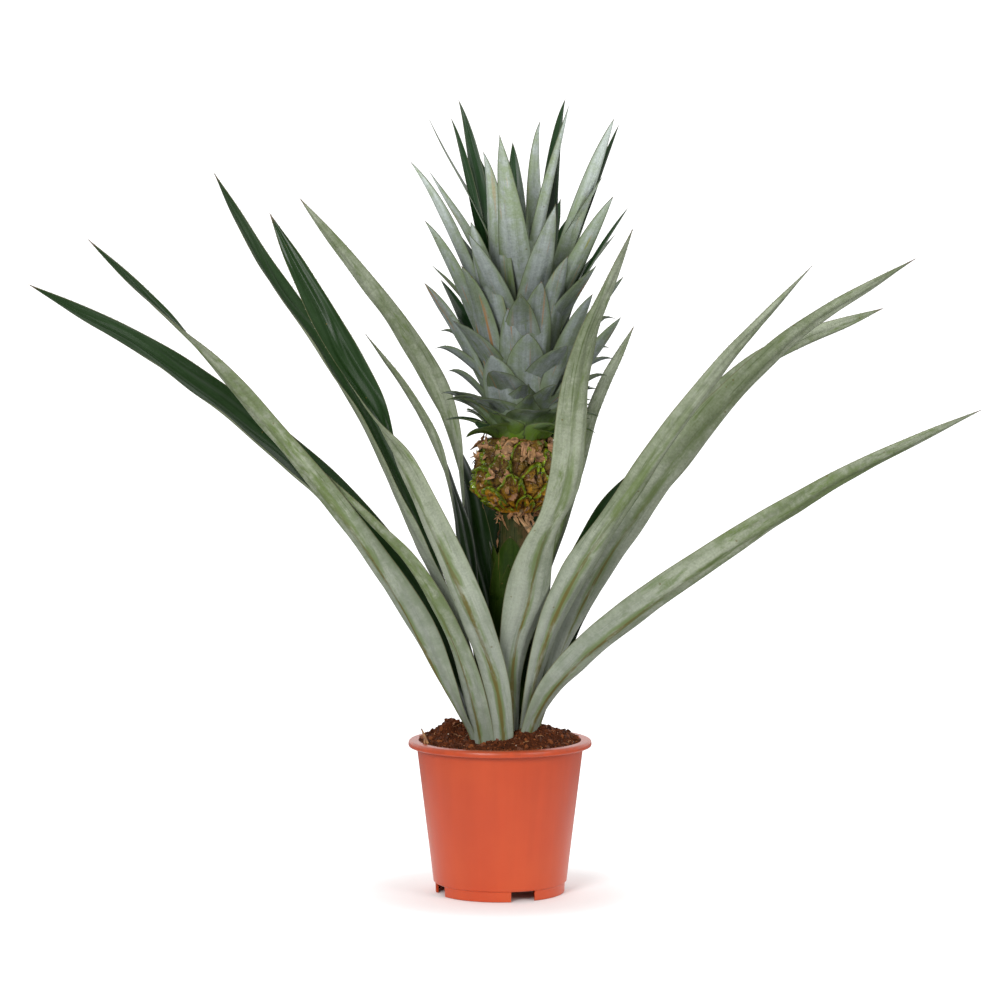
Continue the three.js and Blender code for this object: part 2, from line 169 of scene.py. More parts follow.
def new_node(tree, kind, inputs=None, **settings):
    made = tree.nodes.new(kind)
    for name, value in settings.items():
        setattr(made, name, value)
    feed(made, inputs or {})
    return made


def step(kind, inputs, **settings):
    """A node in the tree that its first linked input comes from."""
    tree = next(value.id_data for value in inputs.values() if is_socket(value))
    return new_node(tree, kind, inputs, **settings)


def calc(operation, *values):
    return step("ShaderNodeMath", dict(enumerate(values)), operation=operation).outputs[0]


def mul(a, b):
    return calc("MULTIPLY", a, b)


def mad(a, b, c):
    """a times b plus c."""
    return calc("MULTIPLY_ADD", a, b, c)


def vary(pattern, amount, base):
    """The base, raised and lowered by a pattern that lies round a half."""
    return mad(calc("SUBTRACT", pattern, 0.5), amount, base)


def blend(factor, a, b, kind="MIX"):
    return step("ShaderNodeMix", {0: factor, 6: a, 7: b}, data_type="RGBA", blend_type=kind).outputs[2]


def tinted(a, b):
    return blend(1.0, a, b, "MULTIPLY")


def ramp(value, low, high, out_low=0.0, out_high=1.0):
    inputs = {0: value, 1: low, 2: high, 3: out_low, 4: out_high}
    return step("ShaderNodeMapRange", inputs, interpolation_type="SMOOTHSTEP").outputs[0]


def grain(vector, scale, detail=2.0, roughness=0.5, distortion=0.0):
    inputs = {"Vector": vector, "Scale": scale, "Detail": detail, "Roughness": roughness}
    inputs["Distortion"] = distortion
    return step("ShaderNodeTexNoise", inputs, noise_dimensions="3D").outputs["Fac"]


def join_xyz(*values):
    return step("ShaderNodeCombineXYZ", dict(enumerate(values))).outputs[0]


def split_xyz(vector):
    return step("ShaderNodeSeparateXYZ", {0: vector}).outputs[:3]


def attribute(tree, name):
    return new_node(tree, "ShaderNodeAttribute", attribute_name=name).outputs


def object_point(tree):
    return new_node(tree, "ShaderNodeTexCoord").outputs["Object"]


def node_group(kind, name, inputs, outputs):
    """A node group with named sockets; returns (group, its input sockets, its output node).

    A socket is given as its kind, or as its default: a number or a colour.
    """
    group = bpy.data.node_groups.new(name, kind)
    for way, sockets in (("INPUT", inputs), ("OUTPUT", outputs)):
        for label, value in sockets.items():
            sort = value if isinstance(value, str) else "Color" if isinstance(value, tuple) else "Float"
            socket = group.interface.new_socket(label, in_out=way, socket_type="NodeSocket" + sort)
            if sort != value:
                socket.default_value = (*value, 1.0) if sort == "Color" else value
    return group, group.nodes.new("NodeGroupInput").outputs, group.nodes.new("NodeGroupOutput")


def labelled(values):
    """Values by their sockets' labels: foot_reach stands for the socket Foot reach."""
    return {name.replace("_", " ").capitalize(): value for name, value in values.items()}


def new_material(name):
    """An empty material with its Principled shader; returns (material, tree, shader)."""
    material = bpy.data.materials.new(name)
    material.use_nodes = True
    tree = material.node_tree
    tree.nodes.clear()
    shader = tree.nodes.new("ShaderNodeBsdfPrincipled")
    new_node(tree, "ShaderNodeOutputMaterial", {"Surface": shader.outputs[0]})
    return material, tree, shader


def paint(shader, colour, roughness, relief=None, **more):
    """Feeds a shader. Relief is (height, distance, strength); more holds constant or linked extras."""
    feed(shader, {"Base Color": colour, "Roughness": roughness})
    if relief:
        bump = step("ShaderNodeBump", dict(zip(("Height", "Distance", "Strength"), relief)))
        feed(shader, {"Normal": bump.outputs[0]})
    labels = {"specular": "Specular IOR Level", "coat": "Coat Weight", "coat_roughness": "Coat Roughness"}
    feed(shader, {labels[name]: value for name, value in more.items()})


# ---------------------------------------------------------------- leaf skin
def leaf_skin_group():
    """Colour, roughness, gloss and height of a blade from its own coordinates."""
    tip_brown = (0.14, 0.07, 0.05)
    # the pale inside colour is painted sheen on a blade's inside
    colours = ("Outside", "Rubbed", "Inside", "Inside pale", "Keel", "Margin", "Foot", "Dry", "Tip")
    values = {"Foot reach": 0.12, "Keel reach": 0.5, "Rub": 0.5, "Pitch": 0.0007, "Streaks": 0.0, "Low": 0.0,
              "High": 0.001, "Edge": 0.0, "Upper": 0.0}
    group, entry, out = node_group(
        "ShaderNodeTree", "leaf_skin", {**dict.fromkeys(colours, tip_brown), **values},
        {"Colour": "Color", "Roughness": "Float", "Coat": "Float", "Height": "Float"},
    )
    across, along, half = split_xyz(attribute(group, "span")["Vector"])
    seed, rub, dry = split_xyz(attribute(group, "trait")["Vector"])
    u, v, _ = split_xyz(new_node(group, "ShaderNodeUVMap", uv_map="blade").outputs[0])
    inner = attribute(group, "inner")["Fac"]
    height = split_xyz(object_point(group))[2]
    centred = calc("ABSOLUTE", mad(u, 2.0, -1.0))
    shift = mul(seed, 9.0)
    flat = join_xyz(across, along, shift)

    def stretched(wide, long, *look):
        """Noise that is drawn out along the blade."""
        return grain(join_xyz(mul(across, wide), mul(along, long), shift), 1.0, *look)

    fine = calc("DIVIDE", across, entry["Pitch"])
    lines = grain(join_xyz(fine, mul(along, 22.0), mul(seed, 37.0)), 1.0, 3.0, 0.65)
    bands = grain(join_xyz(mul(fine, 0.16), mul(along, 7.0), seed), 1.0, 2.0, 0.5)
    zone = stretched(55.0, 9.0, 3.0, 0.6)
    patch = stretched(170.0, 34.0, 4.0, 0.7, 0.2)
    cloud = grain(flat, 120.0, 4.0, 0.65)
    fleck = grain(flat, 700.0, 2.0, 0.7)

    # outside: scurf with wide zones, cloudy mottling, fine fibres and flecks
    value = vary(zone, 1.2, 1.0)
    for pattern, amount in ((bands, 0.7), (lines, 0.5), (cloud, 0.55), (fleck, 0.8)):
        value = vary(pattern, amount, value)
    scurf = tinted(entry["Outside"], value)
    # thinner scurf lets the green through, and rubbed streaks are all green
    thin = mul(ramp(vary(cloud, 0.8, zone), 0.62, 0.32), mad(rub, 0.6, 0.2))
    worn = ramp(calc("ADD", patch, mul(mul(rub, entry["Rub"]), 0.12)), 0.58, 0.74, 0.0, 0.9)
    worn = calc("MAXIMUM", mul(worn, ramp(fleck, 0.25, 0.6, 0.45, 1.0)), thin)
    outside = blend(worn, scurf, entry["Rubbed"])
    scratch = ramp(stretched(800.0, 22.0, 3.0, 0.6), 0.58, 0.68, 0.0, 0.6)
    scratch = mul(scratch, ramp(zone, 0.62, 0.42, 0.15, 1.0))
    outside = blend(mul(scratch, entry["Rub"]), outside, tinted(entry["Rubbed"], (0.5, 0.55, 0.45)))
    # rusty streaks
    rust = ramp(stretched(420.0, 16.0, 2.0, 0.6), 0.64, 0.72)
    outside = blend(mul(rust, mul(entry["Streaks"], dry)), outside, entry["Dry"])
    # foot colour, by the share of the length and by the height
    foot = ramp(mad(cloud, 0.08, v), mul(entry["Foot reach"], 0.3), entry["Foot reach"], 0.5, 0.0)
    below = ramp(mad(cloud, 0.012, height), entry["Low"], entry["High"], 1.0, 0.0)
    outside = blend(calc("MAXIMUM", foot, below), outside, entry["Foot"])
    # keel line with a green band on each side
    centre, reach = calc("ABSOLUTE", across), entry["Keel reach"]
    wander = mad(grain(flat, 60.0, 1.0), 0.0018, 0.0004)
    band = ramp(centre, mul(wander, 1.2), mad(wander, 2.2, 0.0006), 0.75, 0.0)
    band = mul(band, ramp(patch, 0.38, 0.56, 0.1, 1.0))
    band = mul(band, ramp(v, reach, calc("ADD", reach, 0.3), 1.0, 0.0))
    outside = blend(band, outside, entry["Rubbed"])
    keel = ramp(centre, mul(wander, 0.35), wander, 0.85, 0.0)
    keel = mul(mul(keel, ramp(patch, 0.35, 0.55, 0.45, 1.0)), ramp(v, mul(reach, 0.5), reach, 1.0, 0.0))
    outside = blend(keel, outside, entry["Keel"])
    # leaves high in the crown are paler, and the scurf thins towards the margins
    above = mul(ramp(height, 0.385, 0.465), entry["Upper"])
    outside = blend(above, outside, tinted(outside, (2.5, 2.45, 2.4)))
    outside = blend(mul(ramp(centred, 0.45, 1.0), entry["Edge"]), outside, entry["Rubbed"])

    # inside: dark glossy green with pale bands of painted sheen
    painted_sheen = ramp(mad(cloud, 0.35, bands), 0.45, 0.95, 0.0, 0.85)
    inside = blend(painted_sheen, entry["Inside"], entry["Inside pale"])
    skin = blend(inner, outside, tinted(inside, vary(lines, 0.5, 1.0)))

    # margins, tip and scars
    rim = ramp(mul(calc("SUBTRACT", 1.0, centred), half), 0.0002, mad(cloud, 0.0008, 0.0002), 0.85, 0.0)
    skin = blend(rim, skin, entry["Margin"])
    tip = mul(ramp(mad(patch, 0.02, v), 0.985, 1.005), mad(dry, 0.7, 0.3))
    skin = blend(tip, skin, entry["Tip"])
    cells = step("ShaderNodeTexVoronoi", {"Vector": flat, "Scale": 260.0}).outputs
    few = calc("LESS_THAN", split_xyz(cells["Color"])[0], 0.035)
    scars = mul(calc("LESS_THAN", cells["Distance"], 0.16), few)
    rough = mad(worn, -0.14, mad(inner, -0.3, 0.66))
    feed(out, {
        "Colour": blend(mul(scars, 0.55), skin, entry["Keel"]),
        "Roughness": vary(lines, 0.2, rough),
        "Coat": mul(inner, 0.2),
        "Height": mad(scars, -0.5, mad(lines, 0.6, mul(bands, 1.6))),
    })
    return group


def leaf_material(name, skin, **values):
    material, tree, shader = new_material(name)
    out = new_node(tree, "ShaderNodeGroup", node_tree=skin)
    feed(out, labelled(values))
    look = out.outputs
    paint(shader, look["Colour"], look["Roughness"], (look["Height"], 0.00022, 0.7), coat=look["Coat"],
          coat_roughness=0.3, specular=0.1)
    return material


def make_leaf_materials(colours):
    skin = leaf_skin_group()
    return {
        # the pale inside colours below are painted sheen on the insides of the leaves and sheaths
        "rosette": leaf_material(
            "rosette_skin", skin, outside=colours.scurf, rubbed=colours.rubbed, inside=colours.inner,
            inside_pale=colours.inner_sheen, foot=colours.base, foot_reach=0.6, keel_reach=0.5, rub=1.0,
            edge=0.22, margin=colours.margin, dry=colours.dry, keel=colours.keel,
        ),
        "crown": leaf_material(
            # the crown's inside colour is its own dark green, made darker still as painted shade in the gaps
            # between the crown leaves
            "crown_skin", skin, outside=colours.crown, rubbed=colours.rubbed, inside=(0.008, 0.034, 0.006),
            inside_pale=(0.022, 0.055, 0.02), foot=colours.crown_base, foot_reach=0.2, keel_reach=0.1,
            rub=0.35, low=0.303, high=0.330, edge=0.55, upper=1.0, pitch=0.0005, streaks=1.0,
            margin=(0.085, 0.10, 0.055), dry=(0.30, 0.16, 0.07), tip=(0.12, 0.085, 0.05), keel=colours.keel,
        ),
        "bract": leaf_material(
            "sheath_skin", skin, outside=(0.024, 0.046, 0.004), rubbed=(0.012, 0.034, 0.001),
            inside=(0.02, 0.05, 0.004), inside_pale=(0.04, 0.07, 0.01), foot=(0.02, 0.035, 0.004),
            margin=(0.05, 0.055, 0.012), foot_reach=0.2, keel_reach=0.2, rub=1.0, pitch=0.0005, streaks=0.3,
            dry=colours.dry, keel=colours.keel,
        ),
    }


# ---------------------------------------------------------------- meshes and pieces
def add_attribute(mesh, name, kind, domain, values):
    made = mesh.attributes.new(name, kind, domain)
    field = "vector" if kind == "FLOAT_VECTOR" else "value"
    made.data.foreach_set(field, np.array(values, np.float32).ravel())


def new_mesh(name, points, faces, edges=()):
    mesh = bpy.data.meshes.new(name)
    mesh.from_pydata([tuple(p) for p in points], edges, faces)
    mesh.shade_smooth()
    return mesh


def mesh_from(name, made):
    """A mesh out of a bmesh, which is freed."""
    mesh = bpy.data.meshes.new(name)
    made.to_mesh(mesh)
    made.free()
    return mesh


def merged(name, meshes):
    """One mesh out of several, which all have the same attributes."""
    whole = bmesh.new()
    for mesh in meshes:
        whole.from_mesh(mesh)
        bpy.data.meshes.remove(mesh)
    return mesh_from(name, whole)


def loose_object(name, mesh):
    made = bpy.data.objects.new(name, mesh)
    bpy.context.scene.collection.objects.link(made)
    return made


def piece(name, mesh, material, replaces=()):
    """Puts a finished mesh in the scene, on the plant's body."""
    made = loose_object(name, mesh)
    if not mesh.materials:
        mesh.materials.append(material)
    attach(made, BODY)
    if replaces:
        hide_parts(*replaces)


def settled(source):
    """The mesh of an object with its modifiers applied; the object goes."""
    graph = bpy.context.evaluated_depsgraph_get()
    mesh = bpy.data.meshes.new_from_object(
        source.evaluated_get(graph), preserve_all_data_layers=True, depsgraph=graph
    )
    mesh.name = source.name
    bpy.data.objects.remove(source)
    return mesh


def run_tree(source, tree, **inputs):
    """Runs a geometry node tree on an object with the given inputs and returns the finished mesh."""
    modifier = source.modifiers.new("growth", "NODES")
    modifier.node_group = tree
    sockets = {item.name: item.identifier for item in tree.interface.items_tree if item.in_out == "INPUT"}
    for label, value in labelled(inputs).items():
        modifier[sockets[label]] = value
    return settled(source)


def growth_tree(name, **inputs):
    """A geometry node tree with named inputs; returns (tree, its input sockets, its output node)."""
    inputs = {"geometry": "Geometry", **inputs, "material": "Material"}
    return node_group("GeometryNodeTree", name, labelled(inputs), {"Geometry": "Geometry"})


def geo(kind, inputs, **settings):
    return step("GeometryNode" + kind, inputs, **settings).outputs[0]


def end_tree(out, geometry, material):
    """Ends a tree: instances made real, and one material on all of them."""
    real = geo("RealizeInstances", {"Geometry": geometry})
    feed(out, {"Geometry": geo("SetMaterial", {"Geometry": real, "Material": material})})


def named_value(tree, name, kind):
    return new_node(tree, "GeometryNodeInputNamedAttribute", {"Name": name}, data_type=kind).outputs[0]


def random_number(tree, low, high, seed):
    inputs = {2: low, 3: high, "Seed": seed}
    return new_node(tree, "FunctionNodeRandomValue", inputs, data_type="FLOAT").outputs[1]


def random_vector(tree, low, high, seed):
    inputs = {0: low, 1: high, "Seed": seed}
    return new_node(tree, "FunctionNodeRandomValue", inputs, data_type="FLOAT_VECTOR").outputs[0]


def compass(turn):
    """Unit vectors that point outwards and round the plant at a turn."""
    return Vector((math.cos(turn), math.sin(turn), 0)), Vector((-math.sin(turn), math.cos(turn), 0))


def tube_faces(rows, around, capped=True):
    """The faces of a tube of rings of points, which may be closed at both ends."""
    faces = []
    for i in range(rows):
        for k in range(around):
            a, b = i * around + k, i * around + (k + 1) % around
            faces.append((a, b, b + around, a + around))
    if capped:
        faces += [tuple(reversed(range(around))), tuple(range(rows * around, (rows + 1) * around))]
    return faces


# ---------------------------------------------------------------- blades from the frame
RING = 8  # points round a blade's section in the frame


def ring_layers(node):
    """The rings of a blade node, foot to tip, each with its points in order round the blade, and the tip."""
    mesh = bmesh.new()
    mesh.from_mesh(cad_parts[node].data)
    bmesh.ops.remove_doubles(mesh, verts=mesh.verts, dist=1e-6)
    ends = [vert for vert in mesh.verts if len(vert.link_edges) == RING]
    axis = AXES[node.split("_")[0]]
    tip = max(ends, key=lambda vert: (vert.co.xy - axis).length)
    seen, before = {tip}, {tip}
    layer = {edge.other_vert(tip) for edge in tip.link_edges}
    rings = []
    while len(layer) == RING:
        seen |= layer
        loop = [min(layer, key=lambda vert: vert.index)]
        while len(loop) < RING:
            # only edges that border the ring nearer the tip, so a foot's cap doesn't count
            rim = [edge for edge in loop[-1].link_edges
                   if any(vert in before for face in edge.link_faces for vert in face.verts)]
            around = [edge.other_vert(loop[-1]) for edge in rim]
            loop.append(next(vert for vert in around if vert in layer and vert not in loop))
        rings.append([tuple(vert.co) for vert in loop])
        before = layer
        layer = {edge.other_vert(vert) for vert in layer for edge in vert.link_edges} - seen
    tip_point = np.array(tip.co)
    mesh.free()
    return np.array(rings[::-1]), tip_point


def aligned(ring, wanted):
    """The ring's points turned and mirrored so that they lie closest to the wanted ones."""
    options = [np.roll(order, turn, axis=0) for order in (ring, ring[::-1]) for turn in range(RING)]
    return min(options, key=lambda option: np.sum((option - wanted) ** 2))


def blade_tracks(node):
    """Five middle-surface points a ring, margin to margin, and the thickness at the keel, foot to tip."""
    rings, tip = ring_layers(node)
    first = rings[0]
    widest = max(range(4), key=lambda i: np.linalg.norm(first[i] - first[(i + 4) % RING]))
    first = np.roll(first, -widest, axis=0)
    ahead = rings[1].mean(axis=0) - first.mean(axis=0)
    # points 0 and 4 are the margins and 1 to 3 the outside, which faces away from the axis and down
    axis = AXES[node.split("_")[0]]
    away = np.array([first[:, 0].mean() - axis.x, first[:, 1].mean() - axis.y, 0])
    away = away / np.linalg.norm(away) - np.array(UP)
    facing = np.cross(first[4] - first[0], ahead)
    facing *= np.sign(np.dot(facing, away))
    if np.dot(first[2] - first[6], facing) < 0:
        first = np.roll(first[::-1], 1, axis=0)
    if np.dot(np.cross(first[4] - first[0], ahead), facing) < 0:
        first = np.roll(first[::-1], -3, axis=0)
    ordered = [first]
    for ring in rings[1:]:
        ordered.append(aligned(ring, ordered[-1] + ring.mean(axis=0) - ordered[-1].mean(axis=0)))
    ordered = np.array(ordered)
    pairs = ((0, 0), (1, 7), (2, 6), (3, 5), (4, 4))
    tracks = np.stack([(ordered[:, a] + ordered[:, b]) / 2 for a, b in pairs], axis=1)
    thick = np.linalg.norm(ordered[:, 2] - ordered[:, 6], axis=1)
    tracks = np.concatenate([tracks, np.repeat(tip[None, None], 5, axis=1)])
    return tracks, np.append(thick, thick[-1] * 0.3)


def hermite(s):
    """Weights of a start, its slope, an end and its slope at the share s of the way."""
    return 2 * s**3 - 3 * s**2 + 1, s**3 - 2 * s**2 + s, 3 * s**2 - 2 * s**3, s**3 - s**2


def smooth_curve(points, knots, wanted):
    """Values at the wanted knots on a smooth curve through the points."""
    gaps = np.diff(knots)
    shape = (-1,) + (1,) * (points.ndim - 1)
    slopes = np.diff(points, axis=0) / gaps.reshape(shape)
    before, after = gaps[:-1].reshape(shape), gaps[1:].reshape(shape)
    inner = (slopes[:-1] * after + slopes[1:] * before) / (after + before)
    tangents = np.concatenate([slopes[:1], inner, slopes[-1:]])
    index = np.clip(np.searchsorted(knots, wanted, side="right") - 1, 0, len(gaps) - 1)
    gap = gaps[index].reshape(shape)
    start, start_slope, end, end_slope = hermite(((wanted - knots[index]) / gaps[index]).reshape(shape))
    return (start * points[index] + start_slope * (tangents[index] * gap)
            + end * points[index + 1] + end_slope * (tangents[index + 1] * gap))


def across_weights(a):
    """Weights of the five tracks for places a across the blade, from -1 to 1."""
    spots = np.array([-1, -0.5, 0, 0.5, 1.0])
    columns = []
    for j, spot in enumerate(spots):
        others = np.delete(spots, j)
        columns.append(np.prod((a[..., None] - others) / (spot - others), axis=-1))
    return np.stack(columns, axis=-1)


def ease(t):
    t = np.clip(t, 0, 1)
    return t * t * (3 - 2 * t)


def unit(vectors, axis, least=1e-9):
    return vectors / np.maximum(np.linalg.norm(vectors, axis=axis, keepdims=True), least)


def wave(seed, along, wavelength):
    """A wandering wave of about the wavelength, between -1 and 1."""
    phase = seed * 40.0
    return (np.sin(2 * np.pi * along / wavelength + phase)
            + 0.6 * np.sin(2 * np.pi * along / (wavelength * 0.63) + phase * 1.7)) / 1.6


def along_table(v, marks):
    """A soft curve through marks, which give a value at shares of the length."""
    flat = np.interp(v, list(marks), list(marks.values()))
    weight = np.exp(-(((v[:, None] - v[None]) / 0.035) ** 2))
    return (weight * flat[None]).sum(axis=1) / weight.sum(axis=1)


class Blade:
    """A fine blade: its middle surface, normals, thickness and coordinates, one row every so often.

    Marks by share of the length change its width (times), its turn (degrees) and its shift sideways and back
    (mm). The tip isn't shifted, and neither is the foot unless a mark at 0 says so.
    """

    def __init__(self, tracks, thick, seed, row, columns, ripple, ridge, width=None, turn=None, shift=None,
                 back=None, fewest=18):
        centre = tracks[:, 2]
        knots = np.concatenate([[0], np.cumsum(np.linalg.norm(np.diff(centre, axis=0), axis=1))])
        self.length = knots[-1]
        t = np.linspace(0, 1, max(fewest, int(self.length / row)) + 1)
        self.v = v = 1 - (1 - t) ** 1.25
        self.along = v * self.length
        self.thick = smooth_curve(thick, knots, self.along)
        self.a = np.linspace(-1, 1, columns + 1)
        fine = smooth_curve(tracks, knots, self.along)
        surface = np.einsum("ijk,ikc->ijc", across_weights(np.repeat(self.a[None], len(v), axis=0)), fine)
        wide = along_table(v, {0: 1, **(width or {})})
        side = fine[:, 4] - fine[:, 0]
        self.half = np.linalg.norm(side, axis=1) / 2 * wide
        middle = surface[:, columns // 2][:, None]
        arms = (surface - middle) * wide[:, None, None]
        if shift:
            middle = middle + (unit(side, 1) * along_table(v, {0: 0, **shift, 1: 0})[:, None] * MM)[:, None]
        if back:
            middle = middle + along_table(v, {0: 0, **back, 1: 0})[:, None, None] * np.array([0, MM, 0])
        if turn:
            angle = np.radians(along_table(v, {0: 0, **turn}))[:, None, None]
            ahead = unit(np.gradient(middle[:, 0], axis=0), 1)[:, None]
            arms = (arms * np.cos(angle) + np.cross(ahead, arms) * np.sin(angle)
                    + ahead * np.sum(ahead * arms, axis=2, keepdims=True) * (1 - np.cos(angle)))
        self.mid = middle + arms
        a = self.a[None]
        free = ease(v / 0.25)[:, None]
        size = np.minimum(self.half / 0.012, 1)[:, None]
        left = wave(seed, self.along, 0.062)[:, None] * (a < 0)
        right = wave(seed + 0.37, self.along, 0.071)[:, None] * (a > 0)
        lift = ripple * size * free * (np.abs(a) ** 2.5) * (left + right)
        lift = lift + ridge * np.exp(-((a / 0.16) ** 2)) * (1 - ease(v / 0.6))[:, None]
        # shallow folds that run along the blade
        drift = wave(seed + 0.71, self.along, 0.11)[:, None]
        folds = np.sin(a * 8 + drift * 1.6 + seed * 9) * (1 - np.abs(a) ** 3)
        lift = lift + ripple * 0.95 * size * free * folds
        lift = lift * (1 - ease((v - 0.97) / 0.03))[:, None]
        self.mid = self.mid + self.normals() * lift[..., None]

    def normals(self):
        """Unit normals of the middle surface, towards the outside of the blade."""
        ahead = np.gradient(self.mid, axis=0)
        side = np.gradient(self.mid, axis=1)
        side[-1] = side[-2]
        return unit(np.cross(side, ahead), 2, 1e-12)

    def mesh(self, name, trait, thinnest=0.12 * MM):
        """The blade with its thickness, its own coordinates and its traits (seed, rub and dry)."""
        rows, columns = self.mid.shape[:2]
        body = np.sqrt(np.maximum(1 - self.a**2, 0))[None]
        fade = (1 - ease((self.v - 0.9) / 0.1))[:, None]
        deep = ((self.thick[:, None] * body * fade + thinnest * body) / 2)[..., None]
        lift = self.normals() * deep
        walls = self.mid + lift, self.mid - lift
        loop = [(0, j) for j in range(columns)] + [(1, j) for j in range(columns - 2, 0, -1)]
        count = len(loop)
        points = [walls[which][i, j] for i in range(rows - 1) for which, j in loop]
        rulers = zip(self.half[:-1], self.along)
        spans = [(self.a[j] * half, along, half) for half, along in rulers for _, j in loop]
        tip, foot = len(points), len(points) + 1
        points += [self.mid[-1, columns // 2], self.mid[0, columns // 2]]
        spans += [(0, self.length, 0), (0, 0, self.half[0])]

        def place(i, k):
            return (self.a[loop[k % count][1]] + 1) / 2, self.v[i]

        faces, uvs = [], []
        top = (rows - 2) * count
        for k in range(count):
            after = (k + 1) % count
            for i in range(rows - 2):
                low, high = i * count, (i + 1) * count
                faces.append((low + k, low + after, high + after, high + k))
                uvs += [place(i, k), place(i, after), place(i + 1, after), place(i + 1, k)]
            faces += [(top + k, top + after, tip), (after, k, foot)]
            uvs += [place(rows - 2, k), place(rows - 2, after), (0.5, 1.0)]
            uvs += [place(0, after), place(0, k), (0.5, 0.0)]
        mesh = new_mesh(name, points, faces)
        layer = mesh.uv_layers.new(name="blade")
        layer.data.foreach_set("uv", np.array(uvs, np.float32).ravel())
        add_attribute(mesh, "span", "FLOAT_VECTOR", "POINT", spans)
        add_attribute(mesh, "trait", "FLOAT_VECTOR", "POINT", [trait] * len(points))
        add_attribute(mesh, "inner", "FLOAT", "FACE", np.repeat(np.arange(count) >= columns - 1, rows))
        # the margins are edges between the outside and the inside, so light doesn't run round them
        for edge in mesh.edges:
            a, b = edge.vertices
            if abs(a - b) == count and a % count in (0, columns - 1) and max(a, b) < (rows - 1) * count:
                edge.use_edge_sharp = True
        return mesh

    def margins(self, start):
        """Both margins from the share start of the length on: (points, outward directions)."""
        first = int(np.searchsorted(self.v, start))
        for j, inside in ((0, 1), (-1, -2)):
            line = self.mid[first:-2, j]
            yield line, unit(line - self.mid[first:-2, inside], 1)


# ---------------------------------------------------------------- spines along the margins
def spine_tree():
    """Hooked spines at even steps along curves; each curve point's `out` says which way the margin faces."""
    tree, entry, out = growth_tree("margin_spines", length="Float", spacing="Float", seed="Int")
    line = geo("MeshToCurve", {"Mesh": entry["Geometry"]})
    even = geo("ResampleCurve", {"Curve": line, "Length": entry["Spacing"]}, mode="LENGTH")
    away = named_value(tree, "out", "FLOAT_VECTOR")
    ahead = new_node(tree, "GeometryNodeInputTangent").outputs[0]
    hook = step("ShaderNodeVectorMath", {0: ahead, 1: away}, operation="ADD").outputs[0]
    turn = step("FunctionNodeAlignRotationToVector", {"Vector": hook}, axis="Z").outputs[0]
    size = entry["Length"]
    cone = {"Vertices": 3, "Radius Top": 0.0, "Radius Bottom": mul(size, 0.26), "Depth": size}
    spread = geo("InstanceOnPoints", {
        "Points": even, "Instance": geo("MeshCone", cone, fill_type="NGON"), "Rotation": turn,
        "Scale": random_number(tree, 0.45, 1.0, entry["Seed"]),
    })
    end_tree(out, spread, entry["Material"])
    return tree


def spine_material(colours):
    material, tree, shader = new_material("spines")
    tone = grain(object_point(tree), 90.0)
    paint(shader, blend(ramp(tone, 0.35, 0.65), colours.margin, scaled(colours.scurf, 0.75)), 0.5)
    return material


def grow_spines(name, blades, start, size, gap):
    """Spines along both margins of the blades, from the share start of their length on."""
    points, outs, edges = [], [], []
    for blade in blades:
        for line, out in blade.margins(start):
            first = len(points)
            points.extend(line)
            outs.extend(out)
            edges.extend((first + i, first + i + 1) for i in range(len(line) - 1))
    mesh = new_mesh(name, points, [], edges)
    add_attribute(mesh, "out", "FLOAT_VECTOR", "POINT", outs)
    material = blade_materials()["spine"]
    lines = loose_object(name, mesh)
    spines = run_tree(lines, spine_tree(), length=size, spacing=gap, seed=3, material=material)
    piece(name, spines, material)


# ---------------------------------------------------------------- strips made from a path
def strip_tracks(points, sides, half, cup, thick, thin):
    """Tracks of a strip along a path, with its margins lifted by the cup, and its thickness."""
    points, half = np.array(points), np.array(half)
    sides = np.array(sides)
    sides = sides / np.linalg.norm(sides, axis=1, keepdims=True)
    normal = unit(np.cross(sides, np.gradient(points, axis=0)), 1)
    rows = [
        points + sides * (a * half)[:, None] - normal * (cup * (a * a - 0.5) * half / half.max())[:, None]
        for a in (-1, -0.5, 0, 0.5, 1)
    ]
    tracks = np.stack(rows, axis=1)
    tracks[-1] = points[-1]
    return tracks, np.linspace(thick, thin, len(points))


def outward_strip(turn, centre, start, size, leans, cup, thick, widest=0.3, twist=0.0, swing=0.0, steps=12):
    """Tracks of a strip that starts at (radius, height) round the centre, and leans out from the upright.

    Its size is (length, half width), and it is widest at the share widest of its length.
    """
    reach, height = start
    points, sides, widths = [], [], []
    for i in range(steps + 1):
        t = i / steps
        out, side = compass(turn)
        points.append((centre + out.x * reach, out.y * reach, height))
        lean = leans[0] + (leans[1] - leans[0]) * t**1.2
        ahead = out * math.sin(lean) + Vector((0, 0, math.cos(lean)))
        sides.append(tuple(Matrix.Rotation(twist * t, 3, ahead) @ side))
        shape = max((t / widest) ** 0.5, 0.55) if t < widest else ((1 - t) / (1 - widest)) ** 0.8
        widths.append(max(size[1] * shape, 0.02 * MM))
        reach += math.sin(lean) * size[0] / steps
        height += math.cos(lean) * size[0] / steps
        turn += swing / steps
    return strip_tracks(points, sides, widths, cup, thick, thick * 0.5)


# ---------------------------------------------------------------- pot
def rounded_profile(corners, steps=5):
    """(radius, height) points with each corner (radius, height, rounding) turned into an arc."""
    points = []
    for i, (r, z, size) in enumerate(corners):
        here = Vector((r, z))
        if size == 0:
            points.append(here)
            continue
        before, after = Vector(corners[i - 1][:2]), Vector(corners[i + 1][:2])
        a = here + (before - here).normalized() * size
        b = here + (after - here).normalized() * size
        for k in range(steps + 1):
            t = k / steps
            points.append(a.lerp(here, t).lerp(here.lerp(b, t), t))
    return points


